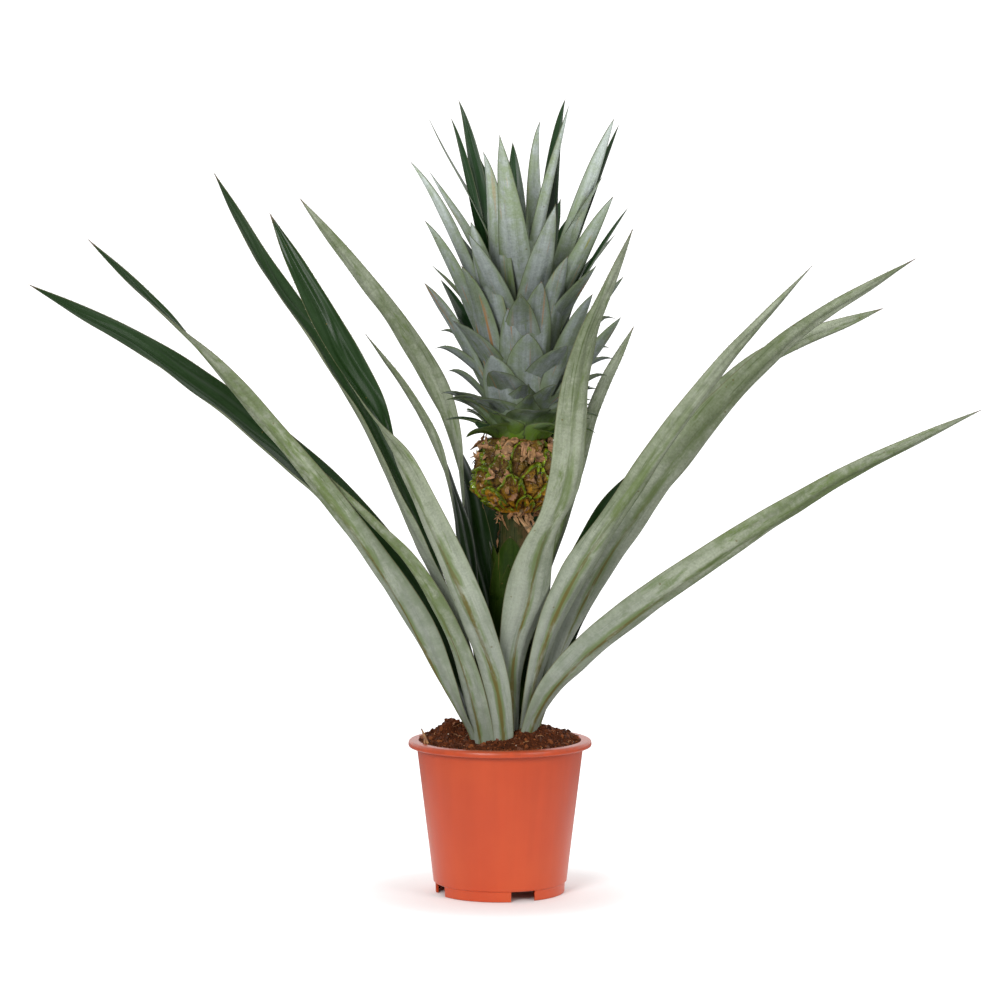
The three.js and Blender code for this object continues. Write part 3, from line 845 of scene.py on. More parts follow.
def turned_mesh(name, profile, segments):
    """A closed solid of revolution; the profile starts and ends on the axis."""
    made = bmesh.new()
    turns = [2 * math.pi * k / segments for k in range(segments)]
    rings = []
    for r, z in profile:
        if r < 1e-7:
            rings.append([made.verts.new((0, 0, z))] * segments)
        else:
            rings.append([made.verts.new((r * math.cos(turn), r * math.sin(turn), z)) for turn in turns])
    for low, high in zip(rings, rings[1:]):
        for k in range(segments):
            corners = list(dict.fromkeys([low[k], low[k - 1], high[k - 1], high[k]]))
            if len(corners) > 2:
                made.faces.new(corners)
    bmesh.ops.recalc_face_normals(made, faces=made.faces)
    return mesh_from(name, made)


def make_pot():
    sizes = setting("plant_pot")
    wall, foot = sizes.wall, sizes.foot
    top, rim = POT_HEIGHT, POT_RIM
    wall_top, wall_foot, skirt = rim - 5.6 * MM, rim - 16.4 * MM, rim - 17.5 * MM
    under, floor = top - 4.4 * MM, foot + 1.8 * MM
    profile = rounded_profile([
        (0, foot, 0),
        (skirt - wall, foot, 0.3 * MM),
        (skirt - wall - 0.2 * MM, 0, 0.3 * MM),
        (skirt - 0.3 * MM, 0, 0.4 * MM),
        (skirt, foot - 0.7 * MM, 0.3 * MM),
        (wall_foot, foot, 0.5 * MM),
        (wall_top, under, 0.5 * MM),
        (rim, under + 0.1 * MM, 1.7 * MM),
        (rim - 0.3 * MM, top, 1.9 * MM),
        (wall_top - wall, top, 1.0 * MM),
        (wall_foot - wall - 0.6 * MM, floor, 1.4 * MM),
        (0, floor, 0),
    ])
    shell = loose_object("pot_shell", turned_mesh("pot_shell", profile, sizes.segments))
    cutter = bmesh.new()
    notch = Matrix.Diagonal((14 * MM, sizes.notch, 2 * foot - 1.2 * MM, 1))
    for turn in (291, 21, 111, 201):
        place = Matrix.Rotation(math.radians(turn), 4, "Z") @ Matrix.Translation((wall_foot, 0, 0))
        bmesh.ops.create_cube(cutter, size=1, matrix=place @ notch)
    notches = loose_object("notches", mesh_from("notches", cutter))
    cut = shell.modifiers.new("notches", "BOOLEAN")
    cut.operation, cut.object, cut.solver = "DIFFERENCE", notches, "EXACT"
    mesh = settled(shell)
    bpy.data.objects.remove(notches)
    mesh.materials.clear()
    mesh.shade_smooth()
    mesh.set_sharp_from_angle(angle=math.radians(42))
    piece("pot_shell", mesh, pot_material(setting("plant_colours").plastic), ["pot"])


def pot_material(plastic):
    material, tree, shader = new_material("terracotta_plastic")
    place = object_point(tree)
    x, y, z = split_xyz(place)
    cloud = grain(place, 22.0, 3.0, 0.6)
    fine = grain(place, 1900.0, 2.0, 0.7)
    # slow flow lines down the moulded wall
    flow = grain(join_xyz(mul(calc("ARCTAN2", y, x), 6.0), mul(z, 9.0), 0.0), 1.0)
    pale = scaled(plastic, 1.06, 1.32, 1.5)
    skin = blend(ramp(flow, 0.3, 0.75), scaled(plastic, 0.92), plastic)
    skin = blend(ramp(cloud, 0.4, 0.8, 0, 0.5), skin, pale)
    # paler in cloudy patches towards the bottom of the wall and on the foot, and soil dust by the rim
    skin = blend(mul(ramp(z, 0.0, 0.055, 0.55, 0.0), ramp(cloud, 0.25, 0.7)), skin, pale)
    dust = ramp(mad(grain(place, 160.0, 4.0, 0.7), 0.012, z), 0.1015, 0.1075)
    skin = blend(mul(dust, 0.35), skin, (0.13, 0.038, 0.014))
    paint(shader, skin, mad(fine, 0.06, vary(cloud, 0.12, 0.32)), (mad(flow, 0.8, fine), 0.00006, 0.5))
    return material


# ---------------------------------------------------------------- soil
SOIL_REACH = 52.4 * MM
# Height of the bank round the plant in mm, by the turn in degrees.
BANKS = {0: 107, 40: 109.5, 78: 109, 120: 107, 150: 105, 190: 100, 230: 98, 270: 101.5, 312: 107, 360: 107}


def clamped(value):
    return min(max(value, 0), 1)


def soil_height(x, y):
    """Height of the soil: low by the wall, banked up round the plant, and with one clump."""
    reach = math.hypot(x, y)
    turn = math.degrees(math.atan2(y, x)) % 360
    bank = float(np.interp(turn, list(BANKS), list(BANKS.values())))
    wall = 99.8 + 3.0 * math.sin(math.radians(turn - 8))
    t = clamped((reach - 24 * MM) / (28.5 * MM))
    height = bank + (wall - bank) * t * t * (3 - 2 * t)
    height += 8.5 * math.exp(-(((x + 33 * MM) / (7 * MM)) ** 2 + ((y - 17 * MM) / (9 * MM)) ** 2))
    spot = Vector((x, y, 0))
    rough = noise.noise(spot * 90) * 1.5 + noise.noise(spot * 260 + Vector((3, 1, 0))) * 1.2
    rough += noise.noise(spot * 640 + Vector((0, 7, 2))) * 0.7
    return (height + rough * (0.4 + 0.6 * clamped((53 * MM - reach) / (3 * MM)))) * MM


def soil_bed():
    """The bed as a closed body; its top is marked for the crumbs."""
    rings, segments = 52, 200
    made = bmesh.new()
    mark = made.faces.layers.float.new("top")
    centre = made.verts.new((0, 0, soil_height(0, 0)))
    before = None
    for i in range(1, rings + 1):
        r = SOIL_REACH * (i / rings) ** 0.85
        ring = []
        for k in range(segments):
            turn = 2 * math.pi * (k + 0.5 * (i % 2)) / segments
            x, y = r * math.cos(turn), r * math.sin(turn)
            ring.append(made.verts.new((x, y, soil_height(x, y))))
        for k in range(segments):
            if before:
                made.faces.new((before[k - 1], ring[k - 1], ring[k], before[k]))
            else:
                made.faces.new((centre, ring[k - 1], ring[k]))
        before = ring
    top = list(made.faces)
    for level, radius in ((88, 51.6), (60, 49), (20, 44.5)):
        shrink = radius * MM / SOIL_REACH
        ring = [made.verts.new((v.co.x * shrink, v.co.y * shrink, level * MM)) for v in before]
        for k in range(segments):
            made.faces.new((before[k - 1], ring[k - 1], ring[k], before[k]))
        before = ring
    made.faces.new(before)
    bmesh.ops.recalc_face_normals(made, faces=made.faces)
    for face in top:
        face[mark] = 1.0
    mesh = mesh_from("soil_bed", made)
    mesh.shade_smooth()
    return mesh


def crumb_tree():
    """Crumbs scattered on the faces marked `top`, each with its own size, turn and `tone`."""
    tree, entry, out = growth_tree("soil_crumbs", density="Float", size="Float", flatness="Float", seed="Int")
    seed, size = entry["Seed"], entry["Size"]
    spots = geo("DistributePointsOnFaces", {
        "Mesh": entry["Geometry"], "Selection": named_value(tree, "top", "FLOAT"),
        "Density": entry["Density"], "Seed": seed,
    }, distribute_method="RANDOM")
    offset = random_vector(tree, (-0.3,) * 3, (0.3,) * 3, 5)
    offset = step("ShaderNodeVectorMath", {0: offset, "Scale": size}, operation="SCALE").outputs[0]
    ball = geo("MeshIcoSphere", {"Radius": size, "Subdivisions": 1})
    small = random_vector(tree, (0.3, 0.3, 0.25), (1.0, 0.85, 0.7), seed)
    flat = join_xyz(1.0, 1.0, entry["Flatness"])
    spread = geo("InstanceOnPoints", {
        "Points": spots, "Instance": geo("SetPosition", {"Geometry": ball, "Offset": offset}),
        "Rotation": random_vector(tree, (0, 0, 0), (6.3,) * 3, seed),
        "Scale": step("ShaderNodeVectorMath", {0: small, 1: flat}, operation="MULTIPLY").outputs[0],
    })
    tone = {"Geometry": spread, "Name": "tone", "Value": random_number(tree, 0.0, 1.0, 11)}
    toned = geo("StoreNamedAttribute", tone, data_type="FLOAT", domain="INSTANCE")
    end_tree(out, toned, entry["Material"])
    return tree


def soil_material(name, soil, light, roughness):
    material, tree, shader = new_material(name)
    place = object_point(tree)
    tone = attribute(tree, "tone")["Fac"]
    clods = grain(place, 140.0, 4.0, 0.65)
    fine = grain(place, 900.0, 3.0, 0.7)
    skin = blend(ramp(mad(tone, 0.55, mul(clods, 0.6)), 0.22, 0.85), scaled(soil, 0.4), soil)
    skin = blend(ramp(tone, 0.80, 0.97, 0.0, 0.8), skin, light)
    skin = blend(ramp(fine, 0.58, 0.72, 0.0, 0.35), skin, light)
    rough = ramp(fine, 0.2, 0.8, roughness, roughness - 0.22)
    paint(shader, skin, rough, (mad(clods, 2.0, fine), 0.0005, 0.8), specular=0.15)
    return material


def make_soil():
    sizes, colours = setting("plant_soil"), setting("plant_colours")
    peat = soil_material("peat", colours.soil, (0.23, 0.07, 0.02), 0.95)
    grit = soil_material("pale_grit", (0.42, 0.33, 0.24), (0.6, 0.53, 0.44), 0.8)
    bark = soil_material("bark", (0.14, 0.05, 0.025), (0.27, 0.12, 0.06), 0.8)
    bed = soil_bed()
    tree = crumb_tree()
    for add, (name, size, density, flatness, shade) in enumerate((
        ("soil_crumbs", sizes.grain, sizes.density, 1.0, peat),
        ("soil_lumps", sizes.lump, sizes.density * 0.055, 0.9, peat),
        ("soil_grit", sizes.grain * 0.8, 5200, 1.0, grit),
        ("soil_bark", sizes.lump * 1.15, 9500, 0.45, bark),
    )):
        mesh = run_tree(loose_object(name, bed.copy()), tree, density=density, size=size, flatness=flatness,
                        seed=sizes.seed + add, material=shade)
        piece(name, mesh, shade)
    add_attribute(bed, "tone", "FLOAT", "POINT", [0.15] * len(bed.vertices))
    piece("soil_bed", bed, peat, ["soil"])
    make_straws()


def stems_mesh(name, stems, around=7):
    """Closed thin stems, each one along a path of points with its radii."""
    points, faces = [], []
    for path, radii in stems:
        first, last = len(points), len(path) - 1
        for i, (spot, radius) in enumerate(zip(path, radii)):
            ahead = (Vector(path[min(i + 1, last)]) - Vector(path[max(i - 1, 0)])).normalized()
            side = ahead.orthogonal().normalized()
            up = ahead.cross(side)
            for k in range(around):
                turn = 2 * math.pi * k / around
                points.append(Vector(spot) + (side * math.cos(turn) + up * math.sin(turn)) * radius)
        faces.extend(tuple(index + first for index in loop) for loop in tube_faces(last, around))
    return new_mesh(name, points, faces)


def make_straws():
    """A forked straw by the wall and a few short fibres on the soil."""
    forks = (
        ((-51.0, -13, 108.5), (-49.0, -17, 104.5), (-45.8, -21.5, 98), (0.45, 0.9, 0.8)),
        ((-48.9, -17.5, 104), (-48.9, -19, 101), (-48.6, -20, 98), (0.55, 0.7, 0.5)),
    )
    stems = [([scaled(spot, MM) for spot in path], scaled(radii, MM)) for *path, radii in forks]
    rng = np.random.default_rng(8)
    for _ in range(46):
        reach, turn = 50 * MM * math.sqrt(rng.uniform(0.2, 1)), rng.uniform(0, 2 * math.pi)
        heading, size = rng.uniform(0, 2 * math.pi), rng.uniform(2.5, 7) * MM
        path = []
        for share in (0, 1, 2, 3):
            x = reach * math.cos(turn) + math.cos(heading) * size * (share / 3 - 0.5)
            y = reach * math.sin(turn) + math.sin(heading) * size * (share / 3 - 0.5)
            heading += rng.uniform(-0.35, 0.35)
            if math.hypot(x, y) > 51.5 * MM:
                break
            path.append((x, y, soil_height(x, y) + rng.uniform(0.2, 0.9) * MM))
        if len(path) > 1:
            stems.append((path, [rng.uniform(0.12, 0.3) * MM] * len(path)))
    material = plain_fibre_material("straw", (0.50, 0.26, 0.10), (0.20, 0.09, 0.04))
    piece("straw", stems_mesh("straw", stems), material)


def plain_fibre_material(name, light, dark):
    material, tree, shader = new_material(name)
    place = object_point(tree)
    fine = grain(place, 1500.0, 2.0, 0.6)
    skin = blend(ramp(grain(place, 220.0, 3.0, 0.6), 0.35, 0.7), dark, light)
    skin = blend(ramp(fine, 0.5, 0.8, 0, 0.4), skin, dark)
    paint(shader, skin, ramp(fine, 0.2, 0.8, 0.5, 0.75), (fine, 0.0001, 0.6))
    return material


# ---------------------------------------------------------------- rosette
# Each leaf's looks: how rubbed and dry it is, from 0 to 1, and marks by share of its length, for Blade.
LEAF_LOOKS = {
    "leaf_far_left": {
        "rub": 0.3, "dry": 0.4, "width": {0.2: 1.1, 0.38: 1.25, 0.6: 1.2, 0.9: 1.25},
        "shift": {0.2: -3, 0.34: -7, 0.47: -5, 0.56: -1, 0.7: 0}},
    "leaf_left": {
        "rub": 0.8, "dry": 0.6, "back": {0.15: -6, 0.6: -6, 0.8: 0},
        "shift": {0.22: 0.5, 0.33: -1, 0.5: -3.3, 0.61: -5.3, 0.7: -3.7, 0.85: -1},
        "turn": {0.2: 10, 0.4: 38, 0.65: 52, 0.78: 28, 0.88: 2, 1: -8},
        "width": {0: 1.05, 0.22: 1.1, 0.33: 0.72, 0.42: 0.64, 0.6: 0.62, 0.7: 0.8, 0.8: 0.85, 1: 0.85}},
    "leaf_front_left": {
        "rub": 1.0, "dry": 0.3, "shift": {0: -1.5, 0.12: -1, 0.3: 1.5, 0.5: 2},
        "width": {0: 1.5, 0.1: 1.4, 0.22: 1.05, 0.35: 0.8, 0.6: 0.9, 1: 1}},
    "leaf_front_centre": {
        "rub": 0.3, "dry": 0.4, "turn": {0.4: 5, 0.54: 12, 0.64: -35, 0.8: -45, 1: -30},
        "shift": {0.1: -1.5, 0.2: -4.5, 0.35: -3, 0.5: -0.5},
        "width": {0.1: 0.9, 0.2: 0.88, 0.35: 0.95, 0.48: 0.95, 0.6: 1.15, 0.9: 1.4}},
    "leaf_front_right": {
        "rub": 0.8, "dry": 1.0, "shift": {0.1: 4, 0.2: 6.5, 0.3: 8.5, 0.42: 6.5, 0.55: 4.5, 0.8: 1.5},
        "width": {0: 1.05, 0.1: 0.95, 0.2: 0.88, 0.42: 1.0, 0.55: 0.98, 0.7: 0.92, 1: 0.95}},
    "leaf_right": {
        "rub": 0.4, "dry": 1.0, "turn": {0.3: -28, 0.55: -26, 0.75: -10, 1: 0},
        "shift": {0.2: 1, 0.35: 3.5, 0.55: 2.5, 0.7: 0}, "width": {0.3: 1.15, 0.5: 1.1, 0.65: 0.9, 0.9: 1.0}},
    "leaf_back_right": {
        "rub": 0.5, "dry": 0.6, "back": {0.15: 6, 0.3: 18, 0.45: 18, 0.65: 0},
        "turn": {0.2: 45, 0.42: 55, 0.55: -20, 0.8: -45, 1: -45},
        "shift": {0.2: -8, 0.32: -15, 0.4: -13, 0.5: -1, 0.6: 2},
        "width": {0.25: 1.4, 0.4: 1.3, 0.5: 0.85, 0.65: 0.8, 0.8: 1.0, 0.9: 1.2}},
    "leaf_back": {"rub": 0.5, "dry": 0.5},
    "leaf_back_left": {"rub": 0.5, "dry": 0.5},
    "leaf_inner_left": {
        "rub": 0.3, "dry": 0.3, "turn": {0.2: -8, 0.42: -20, 0.55: -5, 0.68: 16, 0.82: 30, 1: 30},
        "shift": {0.4: 4, 0.6: 3.5, 0.75: 2}, "width": {0.3: 1.3, 0.5: 1.6, 0.65: 1.5, 0.8: 1.2, 1: 1.1}},
    "leaf_upper_left": {
        "rub": 0.15, "dry": 0.4, "turn": {0.2: -5, 0.4: -14, 0.65: -10, 0.8: 0, 1: 0},
        "width": {0.4: 1.15, 0.7: 1.1, 0.9: 1.25}},
    "leaf_front": {
        "rub": 0.25, "dry": 0.3,
        "shift": {0.16: -2.4, 0.21: -1.3, 0.257: 3.2, 0.317: 2.3, 0.36: 0.7, 0.41: 0.2, 0.446: 4.5, 0.48: 6,
                  0.54: 4.6, 0.66: 2.8, 0.78: -0.5, 0.86: 1},
        "width": {0.16: 1.3, 0.21: 1.35, 0.257: 1.6, 0.317: 1.27, 0.36: 0.98, 0.41: 0.7, 0.446: 0.72,
                  0.48: 0.92, 0.54: 0.92, 0.66: 1.05, 0.78: 0.88, 1: 0.95}},
    "leaf_upper_right": {
        "rub": 0.2, "dry": 0.3, "back": {0.12: -12, 0.5: -12, 0.7: 0},
        "turn": {0: -8, 0.2: -30, 0.5: -38, 0.8: -20, 1: 0},
        "shift": {0.2: 2, 0.34: 6, 0.42: 10, 0.49: 9, 0.59: 6, 0.71: 3.4, 0.8: 1},
        "width": {0.34: 0.85, 0.42: 0.66, 0.49: 0.62, 0.59: 0.7, 0.71: 0.75, 0.8: 0.85, 1: 1}},
    "leaf_inner_right": {
        "rub": 0.5, "dry": 0.4, "turn": {0.5: -45, 1: -50},
        "width": {0.4: 1.2, 0.55: 0.95, 0.75: 0.85, 0.9: 1.1}},
    "leaf_inner_back_left": {
        "rub": 0.5, "dry": 0.3, "turn": {0.35: 5, 0.5: 50, 0.6: 75, 1: 80},
        "shift": {0.45: -0.5, 0.55: -3.5, 0.62: -5.5, 0.7: -5, 0.8: -2},
        "width": {0.45: 1.1, 0.6: 1.2, 0.7: 1.0, 0.8: 0.95, 1: 1.2}},
}


def nodes_named(start):
    return sorted(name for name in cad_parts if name.startswith(start))


def make_rosette(materials):
    sizes = setting("plant_blades")
    blades = []
    for index, name in enumerate(nodes_named("leaf_")):
        marks = dict(LEAF_LOOKS[name])
        traits = ((index * GOLDEN) % 1, marks.pop("rub"), marks.pop("dry"))
        fineness = (sizes.row, sizes.columns, sizes.ripple, sizes.ridge)
        blade = Blade(*blade_tracks(name), traits[0], *fineness, **marks)
        mesh = blade.mesh(name.replace("leaf_", "blade_"), traits)
        piece(mesh.name, mesh, materials["rosette"], [name])
        blades.append(blade)
    grow_spines("rosette_spines", blades, 0.72, sizes.spine, sizes.spine_gap)
    # the stem under the leaves keeps its own shape
    material = plain_fibre_material("stem_skin", (0.30, 0.27, 0.15), (0.13, 0.11, 0.05))
    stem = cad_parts["stem"]
    stem.data.materials.clear()
    stem.data.materials.append(material)
    for slot in stem.material_slots:
        slot.material = material


# ---------------------------------------------------------------- crown
# Tall leaves that fill the crown between its main ones: (azimuth, height of the foot, reach and height of
# the tip, widest half width, turn at the tip), in degrees and mm.
TALL_LEAVES = [
    (312, 354, 17, 502, 8.5, 0), (40, 352, 37, 518, 10, 0), (341, 352, 62, 503, 10.5, -35),
    (352, 350, 63, 500, 5, 60), (320, 338, 75, 453, 9, -25), (331, 334, 77, 446, 6, 50),
    (215, 350, 31, 482, 13, 0), (158, 354, 45, 517, 6.5, -80), (172, 352, 47, 505, 4.5, -75),
    (187, 338, 73, 476, 8, 40), (225, 326, 47, 437, 12, 0), (200, 320, 67, 438, 8, 30),
    (305, 318, 50, 415, 12, 0), (285, 308, 46, 399, 12, 0), (257, 303, 42, 382, 10, 0),
    (275, 299, 38, 366, 14.5, 0), (239, 295, 39, 352, 14.5, 0), (218, 308, 50, 409, 12, 0),
    (318, 303, 60, 391, 11, 0), (336, 299, 69, 376, 9, -20), (3, 320, 66, 402, 8, -40),
    (186, 306, 64, 398, 7.5, 45), (60, 330, 60, 440, 9.5, 0), (100, 346, 36, 490, 9, 0),
    (130, 340, 50, 462, 9.5, 0), (85, 312, 56, 404, 11, 0), (150, 308, 62, 400, 10, 0),
    (30, 304, 64, 388, 10, 0), (178, 326, 54, 366, 6, 35), (185, 316, 57, 355, 6, 45),
    (175, 306, 49, 340, 6, 40), (186, 299, 53, 326, 5.5, 40), (2, 334, 61, 374, 6, -35),
    (9, 320, 58, 355, 5.5, -45), (-5, 312, 60, 348, 5.5, -35), (6, 303, 56, 337, 5.5, -40),
]
SHORT_LEAVES = 30


def reaching_strip(azimuth, foot, reach, tip, half, turn, steps=16):
    """Tracks of a crown leaf that rises from the axis, leans out and ends at the given reach and height."""
    a = math.radians(azimuth)
    out, up = np.array([math.cos(a), math.sin(a), 0]), np.array([0, 0, 1.0])
    side = np.array([-out[1], out[0], 0])
    low = (352 - foot) / 56
    start = np.array([CROWN_X, 0, foot * MM]) + out * (5.5 + 9.5 * low) * MM
    end = np.array([CROWN_X, 0, tip * MM]) + out * reach * MM
    span = np.linalg.norm(end - start)
    steep = (tip - foot) / (reach + 1)
    rising = (out * 0.42 + up) * span * 0.9
    ending = (out * (0.75 if steep < 2.2 else 0.4) + up * (0.9 if steep > 1 else -0.55)) * span * 0.7
    points, sides, widths = [], [], []
    for i in range(steps + 1):
        t = i / steps
        points.append(sum(w * v for w, v in zip(hermite(t), (start, rising, end, ending))))
        angle = math.radians(turn) * t**0.8
        sides.append(side * math.cos(angle) + np.cross(out * 0.4 + up * 0.9, side) * math.sin(angle))
        if t < 0.35:
            shape = 0.62 + 0.38 * math.sin(math.pi * t / 0.7)
        else:
            shape = 1 - ((t - 0.35) / 0.65) ** (1.8 + 1.1 * low)
        widths.append(max(half * shape, 0.02) * MM)
    return strip_tracks(points, sides, widths, 0.32 * half * MM, 1.0 * MM, 0.4 * MM)


def make_crown(materials):
    sizes = setting("plant_blades")
    blades, low, tall = [], [], []
    slim = {"crown_leaf_36": {0.4: 0.75, 1: 0.8}, "crown_leaf_35": {0.5: 0.8, 1: 0.6}}
    rng = np.random.default_rng(12)
    names = nodes_named("crown_leaf_")
    for index, name in enumerate(names):
        seed, t = (index * GOLDEN + 0.2) % 1, index / (len(names) - 1)
        width = slim.get(name) or {0: 1.25, 0.45: 1.3, 0.75: 1.5 - 0.2 * t, 0.93: 1.6 - 0.2 * t, 1: 1}
        blade = Blade(*blade_tracks(name), seed, sizes.row, 10, sizes.ripple * 0.5, sizes.ridge * 0.6, width)
        mesh = blade.mesh(name.replace("crown_leaf", "crown_blade"), (seed, 0.4, rng.uniform(0.1, 1)))
        piece(mesh.name, mesh, materials["crown"], [name])
        blades.append(blade)
    for index, leaf in enumerate(TALL_LEAVES):
        blade = Blade(*reaching_strip(*leaf), index * 0.29, sizes.row, 10, sizes.ripple * 0.5, 0.3 * MM)
        tall.append(blade.mesh("tall", ((index * 0.29) % 1, 0.4, rng.uniform(0.1, 1))))
        blades.append(blade)
    piece("crown_tall_leaves", merged("crown_tall_leaves", tall), materials["crown"])
    # the short leaves round the crown's foot, which curl over at their tips
    for index in range(SHORT_LEAVES):
        t = index / (SHORT_LEAVES - 1)
        start = (16.5 * MM - 4 * MM * t, (294 + 17 * t) * MM)
        leans = (math.radians(rng.uniform(30, 42) - 6 * t), math.radians(rng.uniform(98, 136) - 26 * t))
        size = (rng.uniform(34, 42) * MM + 8 * MM * t, (rng.uniform(7.5, 9.5) + 3 * t) * MM)
        azimuth = math.radians(14 + index * GOLDEN_ANGLE)
        strip = outward_strip(azimuth, CROWN_X, start, size, leans, 3.4 * MM, 1.0 * MM,
                              twist=rng.uniform(-0.4, 0.4), swing=rng.uniform(-0.25, 0.25))
        narrow = {0.35: 1, 0.6: 0.62, 0.8: 0.6, 1: 0.8}
        blade = Blade(*strip, index * 0.37, sizes.row * 0.7, 8, 0.5 * MM, 0.3 * MM, narrow)
        low.append(blade.mesh("short", ((index * 0.37) % 1, 0.8, rng.uniform(0.4, 1))))
    piece("crown_short_leaves", merged("crown_short_leaves", low), materials["crown"])
    grow_spines("crown_spines", blades, 0.3, sizes.spine * 0.5, sizes.spine_gap * 0.7)


# ---------------------------------------------------------------- fruit
EYES = 36
EYE_RISE = 1.62 * MM


def fruit_profile(t):
    """Radius of the fruit, without its eyes, from its bottom (0) to its shoulder (1)."""
    widest = (FRUIT_HIGH.x - FRUIT_LOW.x) / 2 - 1.2 * MM
    if t < 0.38:
        return widest * math.sin(math.pi * (0.12 + 0.38 * t / 0.38)) ** 0.85
    return widest * (1 - 0.30 * ((t - 0.38) / 0.62) ** 2.0)


def hump(value, centre, width):
    """A soft bump of height 1 at the centre."""
    return np.exp(-(((value - centre) / width) ** 2))


def make_fruit(materials):
    low, high = FRUIT_BOTTOM, FRUIT_TOP
    rows, columns = 110, 300
    rng = np.random.default_rng(21)
    eyes = []
    for n in range(EYES):
        turn = math.radians(252) + n * math.radians(-GOLDEN_ANGLE) + rng.uniform(-0.04, 0.04)
        eyes.append((turn % (2 * math.pi), low + (n - 3) * EYE_RISE + rng.uniform(-0.6, 0.6) * MM,
                     rng.uniform(0, 1)))
    eyes = np.array(eyes)
    eye_turn, eye_height, eye_seed = eyes.T
    ts = np.linspace(0, 1, rows + 1)
    turns = np.linspace(0, 2 * np.pi, columns, endpoint=False)
    height = low + ts * (high - low)
    grid_turn, grid_z = np.meshgrid(turns, height)

    def cloud(wide, tall, far_x=0.0, far_z=0.0):
        """Noise over the fruit, finer for larger numbers."""
        spots = [(math.cos(a) * wide + far_x, math.sin(a) * wide) for a in turns]
        return np.array([[noise.noise(Vector((*spot, h * tall + far_z))) for spot in spots] for h in height])

    # each point belongs to the eye whose arch it lies the least below
    turn_gap = (grid_turn[..., None] - eye_turn + np.pi) % (2 * np.pi) - np.pi
    dx = turn_gap * 0.028 + cloud(3.2, 110)[..., None] * 2.2 * MM
    dz = grid_z[..., None] - eye_height + cloud(3.2, 110, 31.7, 31.7)[..., None] * 2.2 * MM
    half_width = (9.3 + 1.5 * eye_seed) * MM
    arch = (9.4 + 1.6 * (1 - eye_seed)) * MM
    out = np.abs(dx / half_width)
    below = arch * (1.0 - out**2.2) - dz
    below = below / np.sqrt(1 + (2.2 * arch / half_width * out**1.2) ** 2)
    below = np.where(out < 1.2, below, -1.0)
    inside = np.where(below > 0, below, 1.0)
    nearest = np.argmin(inside, axis=2)[..., None]

    def take(values):
        """The values of each point's own eye."""
        return np.take_along_axis(np.broadcast_to(values, dx.shape), nearest, axis=2)[..., 0]

    s, x, z, seed = take(inside), take(dx), take(dz), take(eye_seed)
    outside = np.min(np.where(below <= 0, -below, 1.0), axis=2)
    fray = cloud(7, 260, 0, 9)
    # a raised lip under each arch, a shallow dish, a nub, and a furrow above the next arch, which the skin
    # also darkens as painted shade
    lip = np.clip(0.85 + 1.0 * fray, 0.25, 1.25) * hump(s, 1.05 * MM, 0.95 * MM)
    dish = hump(s, 3.6 * MM, 1.9 * MM)
    nub = np.sqrt(np.maximum(1 - (np.hypot(x, z + 0.3 * MM) / (2.0 * MM)) ** 2, 0)) * (seed > 0.35)
    shaded_furrow = hump(outside, 0, 1.15 * MM)
    swell = hump(np.hypot(x, z - 1 * MM), 0, 8.5 * MM)
    fade = np.minimum(1, np.minimum(ts / 0.06, (1.02 - ts) / 0.1))[:, None]
    rise = 2.3 * lip - 1.0 * dish + 1.9 * nub - 2.3 * shaded_furrow + 3.0 * swell
    rise = (rise + 0.8 * cloud(26, 900) + 0.9 * fray - 1.8) * MM * fade
    r = np.array([fruit_profile(t) for t in ts])[:, None] + rise
    points = np.stack([FRUIT_X + r * np.cos(grid_turn), r * np.sin(grid_turn), grid_z], axis=2)
    points = points.reshape(-1, 3).tolist()
    faces = tube_faces(rows, columns, capped=False)
    for ring, spot, order in ((0, (FRUIT_X, 0, low), -1), (rows * columns, (CROWN_X, 0, high + 4 * MM), 1)):
        points.append(spot)
        faces += [(ring + k, ring + (k + 1) % columns, len(points) - 1)[::order] for k in range(columns)]
    mesh = new_mesh("fruit_eyes", points, faces)
    ripe = np.clip(1 - (grid_z - low) / (24 * MM), 0, 1)
    for name, values in (("marks", (lip * fade, np.clip(nub * 1.6, 0, 1), shaded_furrow * fade)),
                         ("kinds", (seed, ripe, s / (12 * MM)))):
        values = np.stack(values, axis=2).reshape(-1, 3)
        add_attribute(mesh, name, "FLOAT_VECTOR", "POINT", np.vstack([values, [[0, 0, 1]] * 2]))
    piece("fruit_eyes", mesh, fruit_material(setting("plant_colours")), ["fruit"])
    fruit_shards(eyes, materials["papery"], rng)
    # the crown's axis, hidden between the leaves, which closes the gaps at their feet
    outline = ((0, 290), (15, 291), (16.5, 296), (13, 320), (7, 345), (2.5, 370), (0, 371))
    mesh = turned_mesh("crown_core", [Vector(p) * MM for p in outline], 32)
    mesh.transform(Matrix.Translation((CROWN_X, 0, 0)))
    mesh.shade_smooth()
    green = plain_fibre_material("crown_core", (0.06, 0.12, 0.015), (0.03, 0.06, 0.01))
    piece("crown_core", mesh, green)


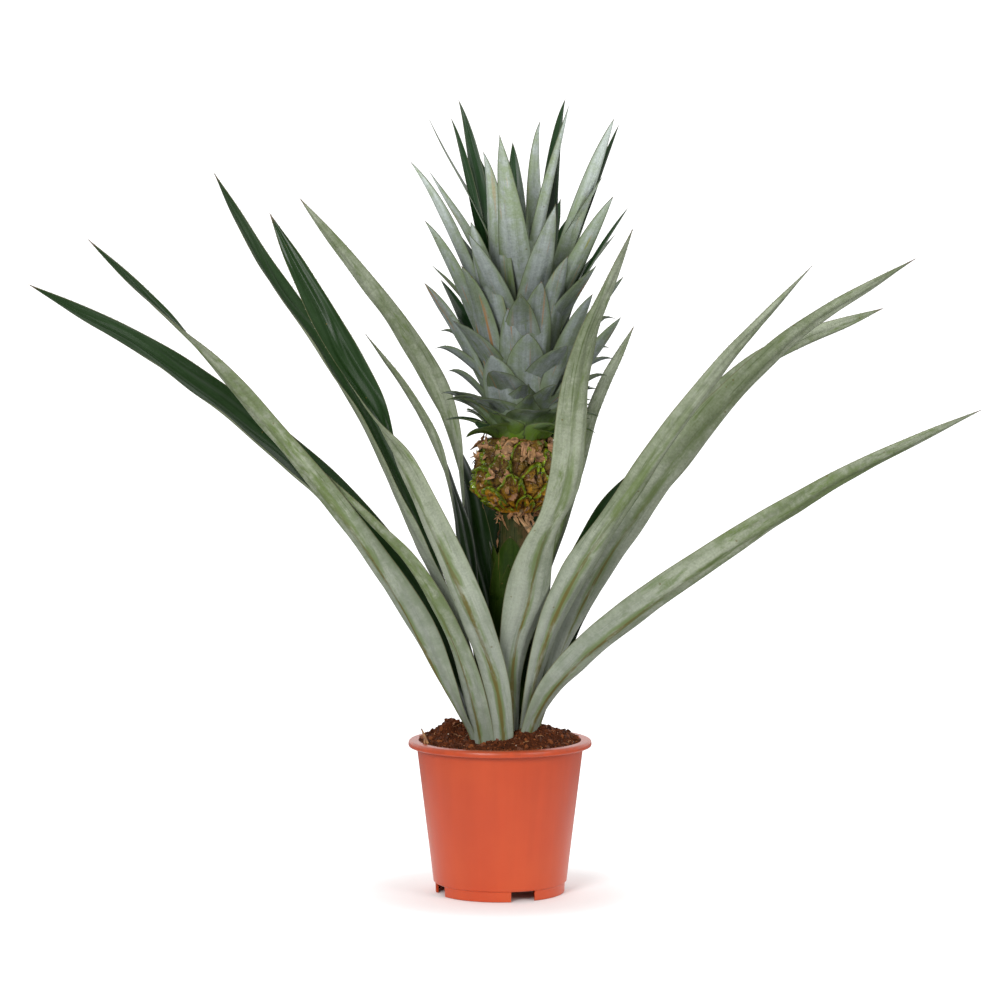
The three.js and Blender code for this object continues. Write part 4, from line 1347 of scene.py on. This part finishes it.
def fruit_material(colours):
    material, tree, shader = new_material("fruit_skin")
    place = object_point(tree)
    lip, nub, shaded_furrow = split_xyz(attribute(tree, "marks")["Vector"])
    seed, ripe, _ = split_xyz(attribute(tree, "kinds")["Vector"])
    cloud = grain(place, 210.0, 3.0, 0.6)
    fine = grain(place, 1400.0, 3.0, 0.7)
    warm = vary(cloud, 0.9, mad(seed, 0.3, mul(ripe, 0.85)))
    skin = blend(ramp(warm, 0.0, 0.8), (0.12, 0.078, 0.010), colours.eye)
    skin = blend(ramp(cloud, 0.47, 0.58, 0, 0.85), skin, (0.055, 0.02, 0.006))
    skin = blend(ramp(fine, 0.56, 0.64, 0, 0.6), skin, (0.34, 0.16, 0.07))
    bright = blend(ramp(cloud, 0.35, 0.65), scaled(colours.fruit, 0.5), scaled(colours.fruit, 1.6))
    skin = blend(ramp(lip, 0.12, 0.42), skin, bright)
    skin = blend(mul(nub, ramp(cloud, 0.3, 0.5, 0.5, 1.0)), skin, (0.17, 0.22, 0.04))
    # painted shade: the furrow above each arch darkened to a near-black brown
    skin = blend(mul(shaded_furrow, ramp(cloud, 0.35, 0.6, 0.5, 0.9)), skin, (0.022, 0.011, 0.003))
    paint(shader, skin, mad(shaded_furrow, 0.3, mad(lip, -0.14, 0.44)), (mad(fine, 0.8, cloud), 0.0012, 0.9),
          coat=ramp(lip, 0.2, 0.8, 0.3, 0.9), coat_roughness=0.08, specular=0.12)
    return material


def papery_material(colours):
    """Dry bract: tan and pinkish brown, with fine ribs along it and dark patches."""
    material, tree, shader = new_material("papery")
    across, along, _ = split_xyz(attribute(tree, "span")["Vector"])
    seed, rub, _ = split_xyz(attribute(tree, "trait")["Vector"])
    shift = mul(seed, 17.0)
    ribs = grain(join_xyz(mul(across, 1500.0), mul(along, 90.0), shift), 1.0, 3.0, 0.6)
    cloud = grain(join_xyz(across, along, shift), 230.0, 3.0, 0.6)
    tan = blend(seed, (0.74, 0.41, 0.17), (0.46, 0.2, 0.09))
    skin = blend(ramp(ribs, 0.35, 0.7), scaled(colours.dry, 0.55), tan)
    skin = blend(ramp(cloud, 0.5, 0.7, 0, 0.9), skin, (0.09, 0.038, 0.015))
    skin = blend(mul(rub, ramp(cloud, 0.3, 0.6)), skin, (0.12, 0.13, 0.03))
    paint(shader, skin, ramp(ribs, 0.2, 0.8, 0.75, 0.5), (ribs, 0.0004, 0.9))
    return material


def shard(rng, seat, outward, heading, size, half, curl, lift, steps=7):
    """A curled dry scale that starts at the seat and runs along the heading, lifting off the surface.

    Its length and half width are in mm, and these and its curl and lift may be (low, high) to choose between.
    """
    looks = (size, half, curl, lift)
    size, half, curl, lift = (rng.uniform(*look) if isinstance(look, tuple) else look for look in looks)
    size, half, thick = size * MM, half * MM, 0.22 * MM
    outward = outward.normalized()
    points, sides, widths = [], [], []
    spot, ahead = seat.copy(), (heading.normalized() + outward * lift).normalized()
    side = ahead.cross(outward).normalized() * -1
    for i in range(steps + 1):
        t = i / steps
        points.append(tuple(spot))
        sides.append(tuple(side))
        widths.append(max(half * (0.7 + 0.5 * t - 1.2 * t**3) * (1 + rng.uniform(-0.35, 0.35)), 0.03 * MM))
        ahead = Matrix.Rotation(curl / steps + rng.uniform(-0.2, 0.2), 3, side) @ ahead
        ahead = Matrix.Rotation(rng.uniform(-0.26, 0.26), 3, outward) @ ahead
        side = (Matrix.Rotation(rng.uniform(-0.32, 0.32), 3, ahead) @ side).normalized()
        side = (side - ahead * side.dot(ahead)).normalized()
        spot = spot + ahead * (size / steps)
    tracks = strip_tracks(points, sides, widths, rng.uniform(-0.3, 0.45) * half, thick, thick * 0.6)
    blade = Blade(*tracks, rng.uniform(0, 1), size / 8, 6, 0.3 * MM, 0.0, fewest=8)
    return blade.mesh("shard", (rng.uniform(0, 1), rng.uniform(0, 0.3), 1.0), thick)


def on_fruit(turn, height, proud):
    r = fruit_profile(clamped((height - FRUIT_BOTTOM) / (FRUIT_TOP - FRUIT_BOTTOM))) + proud
    return Vector((FRUIT_X + r * math.cos(turn), r * math.sin(turn), height))


def fruit_shards(eyes, material, rng):
    """The papery scales over the fruit, in the collar above it and in the one below, and its dried styles."""
    scales, styles = [], []
    for turn, height, _ in eyes:
        if FRUIT_LOW.z + 1 * MM < height < 291 * MM:
            for _ in range(rng.integers(3, 7)):
                a = turn + rng.uniform(-0.16, 0.16)
                h = height + rng.uniform(-6.5, 2.5) * MM
                out, around = compass(a)
                heading = UP * rng.uniform(-0.5, 1) + around * rng.uniform(-1.2, 1.2)
                scales.append(shard(rng, on_fruit(a, h, 0.2 * MM), out, heading,
                                    (3, 7.5), (0.7, 2.0), (-0.5, 0.9), (0.1, 0.5)))
    upper, lower = 96, 20
    for index in range(upper):
        a = 2 * math.pi * index / upper + rng.uniform(-0.1, 0.1)
        out, around = compass(a)
        out.z = 0.15
        row = index % 4
        seat = on_fruit(a, (297 - 3.2 * row) * MM, rng.uniform(-1.5, 1.0) * MM)
        seat.z = (299 - 3.4 * row) * MM
        if row == 0:
            seat = Vector((CROWN_X, 0, 300 * MM)) + out * 15 * MM
        heading = -UP * rng.uniform(-0.4, 1.2) + around * rng.uniform(-1.2, 1.2)
        scales.append(shard(rng, seat, out, heading, (6, 14), (1.2, 3.6), (-0.2, 1.5), (0.0, 0.7)))
    for index in range(lower):
        out, around = compass(2 * math.pi * index / lower + rng.uniform(-0.2, 0.2))
        seat = Vector((FRUIT_X, 0, FRUIT_BOTTOM + rng.uniform(-1.5, 1.5) * MM))
        seat += out * rng.uniform(9.5, 12.5) * MM
        heading = -UP * rng.uniform(0.2, 1) + out * rng.uniform(0.1, 0.8) + around * rng.uniform(-0.6, 0.6)
        scales.append(shard(rng, seat, out, heading, (3, 8), (0.9, 2.4), (-0.8, 0.8), (0, 0.3)))
    piece("fruit_papery_scales", merged("fruit_papery_scales", scales), material)
    for turn, height, _ in eyes:
        if FRUIT_LOW.z + 2 * MM < height < 292 * MM:
            for _ in range(rng.integers(1, 4)):
                a = turn + rng.uniform(-0.1, 0.1)
                spot = on_fruit(a, height + rng.uniform(-2, 3) * MM, 1.0 * MM)
                aim = compass(a)[0] * 0.5 + Vector(rng.uniform(-0.9, 0.9, 3))
                path = [spot + aim * (size * MM) + Vector(rng.uniform(-0.4, 0.4, 3)) * MM * size / 3
                        for size in (0, 1.4, 2.6, 3.8)]
                styles.append((path, scaled((0.42, 0.3, 0.22, 0.06), MM)))
    dark = plain_fibre_material("dried_style", (0.07, 0.035, 0.025), (0.018, 0.010, 0.008))
    piece("fruit_dried_styles", stems_mesh("fruit_dried_styles", styles), dark)


# ---------------------------------------------------------------- stalk
# Sheaths that hug the stalk: (turn in degrees, height of the foot, length, half width) in mm.
SHEATHS = (
    (262, 184, 50, 13.5), (222, 186, 36, 12), (318, 188, 36, 12), (180, 186, 42, 12), (20, 190, 38, 12),
    (90, 188, 42, 12), (140, 190, 38, 12), (250, 150, 52, 13), (310, 146, 54, 13), (200, 150, 54, 13),
    (50, 150, 52, 13), (118, 148, 52, 13), (280, 112, 48, 13), (220, 110, 48, 13),
)
# Dry strips that hang from under the fruit: (turn in degrees, height of the top, length, half width) in mm.
DRY_STRIPS = (
    (279, 248, 27, 2.0), (264, 248, 9, 1.4), (303, 247, 14, 2.4), (212, 247, 14, 2.2), (335, 246, 15, 3.0),
    (20, 246, 18, 3.2), (80, 240, 16, 3.6), (150, 241, 17, 3.4),
)


def make_stalk(materials):
    rings, segments = 70, 64
    low, high = (corner.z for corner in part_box("stalk"))
    high += 3 * MM
    rng = np.random.default_rng(5)
    points = []
    for i in range(rings + 1):
        t = i / rings
        x = PLANT_X + (FRUIT_X - PLANT_X) * t
        r = (8.2 + 2.6 * t) * MM + 0.5 * MM * math.sin(t * 19)
        for k in range(segments):
            turn = 2 * math.pi * k / segments
            rough = noise.noise(Vector((math.cos(turn) * 3, math.sin(turn) * 3, t * 16)))
            ribs = 0.16 * MM * math.sin(turn * 16 + 2 * math.sin(t * 7)) + 0.22 * MM * rough
            wide = r + ribs
            points.append((x + wide * math.cos(turn), wide * math.sin(turn), low + (high - low) * t))
    mesh = new_mesh("stalk_core", points, tube_faces(rings, segments))
    piece("stalk_core", mesh, stalk_material(), ["stalk"])
    row = setting("plant_blades").row * 0.7
    for index, name in enumerate(nodes_named("stalk_bract_")):
        blade = Blade(*blade_tracks(name), index * 0.41, row, 10, 0.4 * MM, 0.3 * MM)
        mesh = blade.mesh(name.replace("stalk_bract", "sheath"), (index * 0.41, 0.7, 0.6))
        piece(mesh.name, mesh, materials["bract"], [name])
    green, dry = [], []
    leans = (math.radians(0.5), math.radians(5))
    blunt = {0.25: 1, 0.5: 1.2, 0.8: 1.55, 0.9: 1.7, 1: 1.8}
    for turn, foot, size, half in SHEATHS:
        middle = PLANT_X + (FRUIT_X - PLANT_X) * (foot * MM - low) / (high - low)
        strip = outward_strip(math.radians(turn), middle, (10.4 * MM, foot * MM), (size * MM, half * MM),
                              leans, 6.5 * MM, 0.7 * MM, widest=0.25, swing=rng.uniform(-0.1, 0.1))
        blade = Blade(*strip, turn * 0.013, 1.6 * MM, 12, 0.3 * MM, 0.3 * MM, blunt)
        green.append(blade.mesh("sheath", ((turn * 0.013) % 1, 0.8, rng.uniform(0.3, 1))))
    piece("stalk_sheaths", merged("stalk_sheaths", green), materials["bract"])
    for turn, top, size, half in DRY_STRIPS:
        out, around = compass(math.radians(turn))
        seat = Vector((FRUIT_X - 0.6 * MM, 0, top * MM)) + out * 11 * MM
        heading = -UP + around * rng.uniform(0.1, 0.5)
        dry.append(shard(rng, seat, out, heading, size, half, (-0.2, 0.3), 0.06))
    piece("stalk_dry_strips", merged("stalk_dry_strips", dry), materials["papery"])


def stalk_material():
    material, tree, shader = new_material("stalk_skin")
    place = object_point(tree)
    x, y, z = split_xyz(place)
    ribs = grain(join_xyz(x, y, mul(z, 0.08)), 900.0, 3.0, 0.6)
    cloud = grain(place, 90.0, 3.0, 0.6)
    skin = blend(ramp(ribs, 0.3, 0.7), (0.016, 0.024, 0.004), (0.05, 0.052, 0.014))
    skin = blend(ramp(cloud, 0.5, 0.65, 0, 0.8), skin, (0.10, 0.06, 0.025))
    paint(shader, skin, ramp(cloud, 0.3, 0.7, 0.55, 0.72), (ribs, 0.0003, 0.8), specular=0.15)
    return material


# ---------------------------------------------------------------- stage
WHITE = (1, 1, 1)


def aimed(name, data, place, aim):
    """Puts a light or camera in the scene, turned towards a point."""
    made = loose_object(name, data)
    made.location = place
    made.rotation_euler = (Vector(aim) - Vector(place)).to_track_quat("-Z", "Y").to_euler()
    return made


def area_light(name, place, size, power):
    lamp = bpy.data.lights.new(name, "AREA")
    lamp.shape, lamp.size, lamp.size_y, lamp.energy = "RECTANGLE", *size, power
    aimed(name, lamp, place, (0, 0, 0.25))


def make_floor(values):
    half = 30.0
    corners = [(-half, -half, 0), (half, -half, 0), (half, half, 0), (-half, half, 0)]
    mesh = new_mesh("floor", corners, [(0, 1, 2, 3)])
    material, tree, shader = new_material("floor")
    place = object_point(tree)
    # away from the pot the floor throws less light upwards, and for the camera it runs into the backdrop
    away = step("ShaderNodeVectorMath", {0: place}, operation="LENGTH").outputs["Value"]
    near = blend(ramp(grain(place, 1.5), 0.3, 0.7), values.floor, scaled(values.floor, 0.985))
    paint(shader, blend(ramp(away, 0.15, 0.4), near, scaled(values.floor, 0.3)), 0.9)
    seen = new_node(tree, "ShaderNodeLightPath").outputs["Is Camera Ray"]
    glow = new_node(tree, "ShaderNodeEmission", {"Color": WHITE, "Strength": values.sky})
    fade = mul(seen, ramp(away, 0.065, 0.15))
    mixed = step("ShaderNodeMixShader", {0: fade, 1: shader.outputs[0], 2: glow.outputs[0]})
    feed(next(node for node in tree.nodes if node.type == "OUTPUT_MATERIAL"), {"Surface": mixed.outputs[0]})
    mesh.materials.append(material)
    floor = loose_object("floor", mesh)
    floor.location.z = -0.0002


def make_stage():
    values = setting("plant_stage")
    scene = bpy.context.scene
    make_floor(values)
    # a white studio, brighter behind the plant than in front of it
    scene.world = bpy.data.worlds.new("surround")
    scene.world.use_nodes = True
    tree = scene.world.node_tree
    tree.nodes.clear()
    depth = split_xyz(new_node(tree, "ShaderNodeTexCoord").outputs["Generated"])[1]
    seen = new_node(tree, "ShaderNodeLightPath").outputs["Is Camera Ray"]
    level = ramp(depth, -0.5, 0.7, values.room * values.sky, values.sky)
    level = calc("MAXIMUM", level, mul(seen, values.sky))
    light = new_node(tree, "ShaderNodeBackground", {"Color": WHITE, "Strength": level})
    new_node(tree, "ShaderNodeOutputWorld", {"Surface": light.outputs[0]})
    area_light("key", (-0.9, -2.2, 1.15), (0.8, 0.8), values.key)
    area_light("fill", (1.7, -1.6, 1.0), (1.0, 1.4), values.fill)
    scene.view_settings.view_transform = "Standard"
    camera = aimed("camera", bpy.data.cameras.new("camera"), (0, -2.2, 0.405), (0, 0, 0.2567))
    camera.data.lens, camera.data.sensor_width, camera.data.clip_end = 122.0, 36.0, 200
    scene.camera = camera


# ---------------------------------------------------------------- operators and panel
SKINS = {}


def blade_materials():
    """The materials that several steps share, made the first time that one of them asks."""
    if not SKINS:
        colours = setting("plant_colours")
        SKINS.update(make_leaf_materials(colours))
        SKINS.update(papery=papery_material(colours), spine=spine_material(colours))
    return SKINS


class PLANT_OT_stage(bpy.types.Operator):
    """Make the floor, the light and the camera"""

    bl_idname = "plant.stage"
    bl_label = "Stage"

    def execute(self, context):
        make_stage()
        return {"FINISHED"}


class PLANT_OT_pot(bpy.types.Operator):
    """Make the nursery pot"""

    bl_idname = "plant.pot"
    bl_label = "Pot"

    def execute(self, context):
        make_pot()
        return {"FINISHED"}


class PLANT_OT_soil(bpy.types.Operator):
    """Make the soil, its crumbs and the bits that lie on it"""

    bl_idname = "plant.soil"
    bl_label = "Soil"

    def execute(self, context):
        make_soil()
        return {"FINISHED"}


class PLANT_OT_rosette(bpy.types.Operator):
    """Make the long leaves and their spines"""

    bl_idname = "plant.rosette"
    bl_label = "Rosette leaves"

    def execute(self, context):
        make_rosette(blade_materials())
        return {"FINISHED"}


class PLANT_OT_stalk(bpy.types.Operator):
    """Make the stalk with its sheaths"""

    bl_idname = "plant.stalk"
    bl_label = "Stalk"

    def execute(self, context):
        make_stalk(blade_materials())
        return {"FINISHED"}


class PLANT_OT_fruit(bpy.types.Operator):
    """Make the fruit and its papery scales"""

    bl_idname = "plant.fruit"
    bl_label = "Fruit"

    def execute(self, context):
        make_fruit(blade_materials())
        return {"FINISHED"}


class PLANT_OT_crown(bpy.types.Operator):
    """Make the leaves of the crown"""

    bl_idname = "plant.crown"
    bl_label = "Crown"

    def execute(self, context):
        make_crown(blade_materials())
        return {"FINISHED"}


OPERATORS = (
    PLANT_OT_stage, PLANT_OT_pot, PLANT_OT_soil, PLANT_OT_rosette, PLANT_OT_stalk, PLANT_OT_fruit,
    PLANT_OT_crown,
)


class PLANT_PT_panel(bpy.types.Panel):
    """Lists the plant's pieces and their sizes"""

    bl_idname = "PLANT_PT_panel"
    bl_label = "Potted pineapple plant"
    bl_space_type = "VIEW_3D"
    bl_region_type = "UI"
    bl_category = "Plant"

    def draw(self, context):
        for operator in OPERATORS:
            self.layout.operator(operator.bl_idname)
        for group in GROUPS:
            settings = getattr(context.scene, group)
            box = self.layout.box()
            for name in settings.bl_rna.properties.keys():
                if name not in ("rna_type", "name"):
                    box.prop(settings, name)


def register():
    for kind in (*GROUPS.values(), *OPERATORS, PLANT_PT_panel):
        bpy.utils.register_class(kind)
    for name, kind in GROUPS.items():
        setattr(bpy.types.Scene, name, PointerProperty(type=kind))


def unregister():
    for name in GROUPS:
        delattr(bpy.types.Scene, name)
    for kind in (PLANT_PT_panel, *reversed(OPERATORS), *GROUPS.values()):
        bpy.utils.unregister_class(kind)


def main():
    register()
    for name in ("stage", "pot", "soil", "rosette", "stalk", "fruit", "crown"):
        getattr(bpy.ops.plant, name)()


if __name__ == "__main__":
    main()
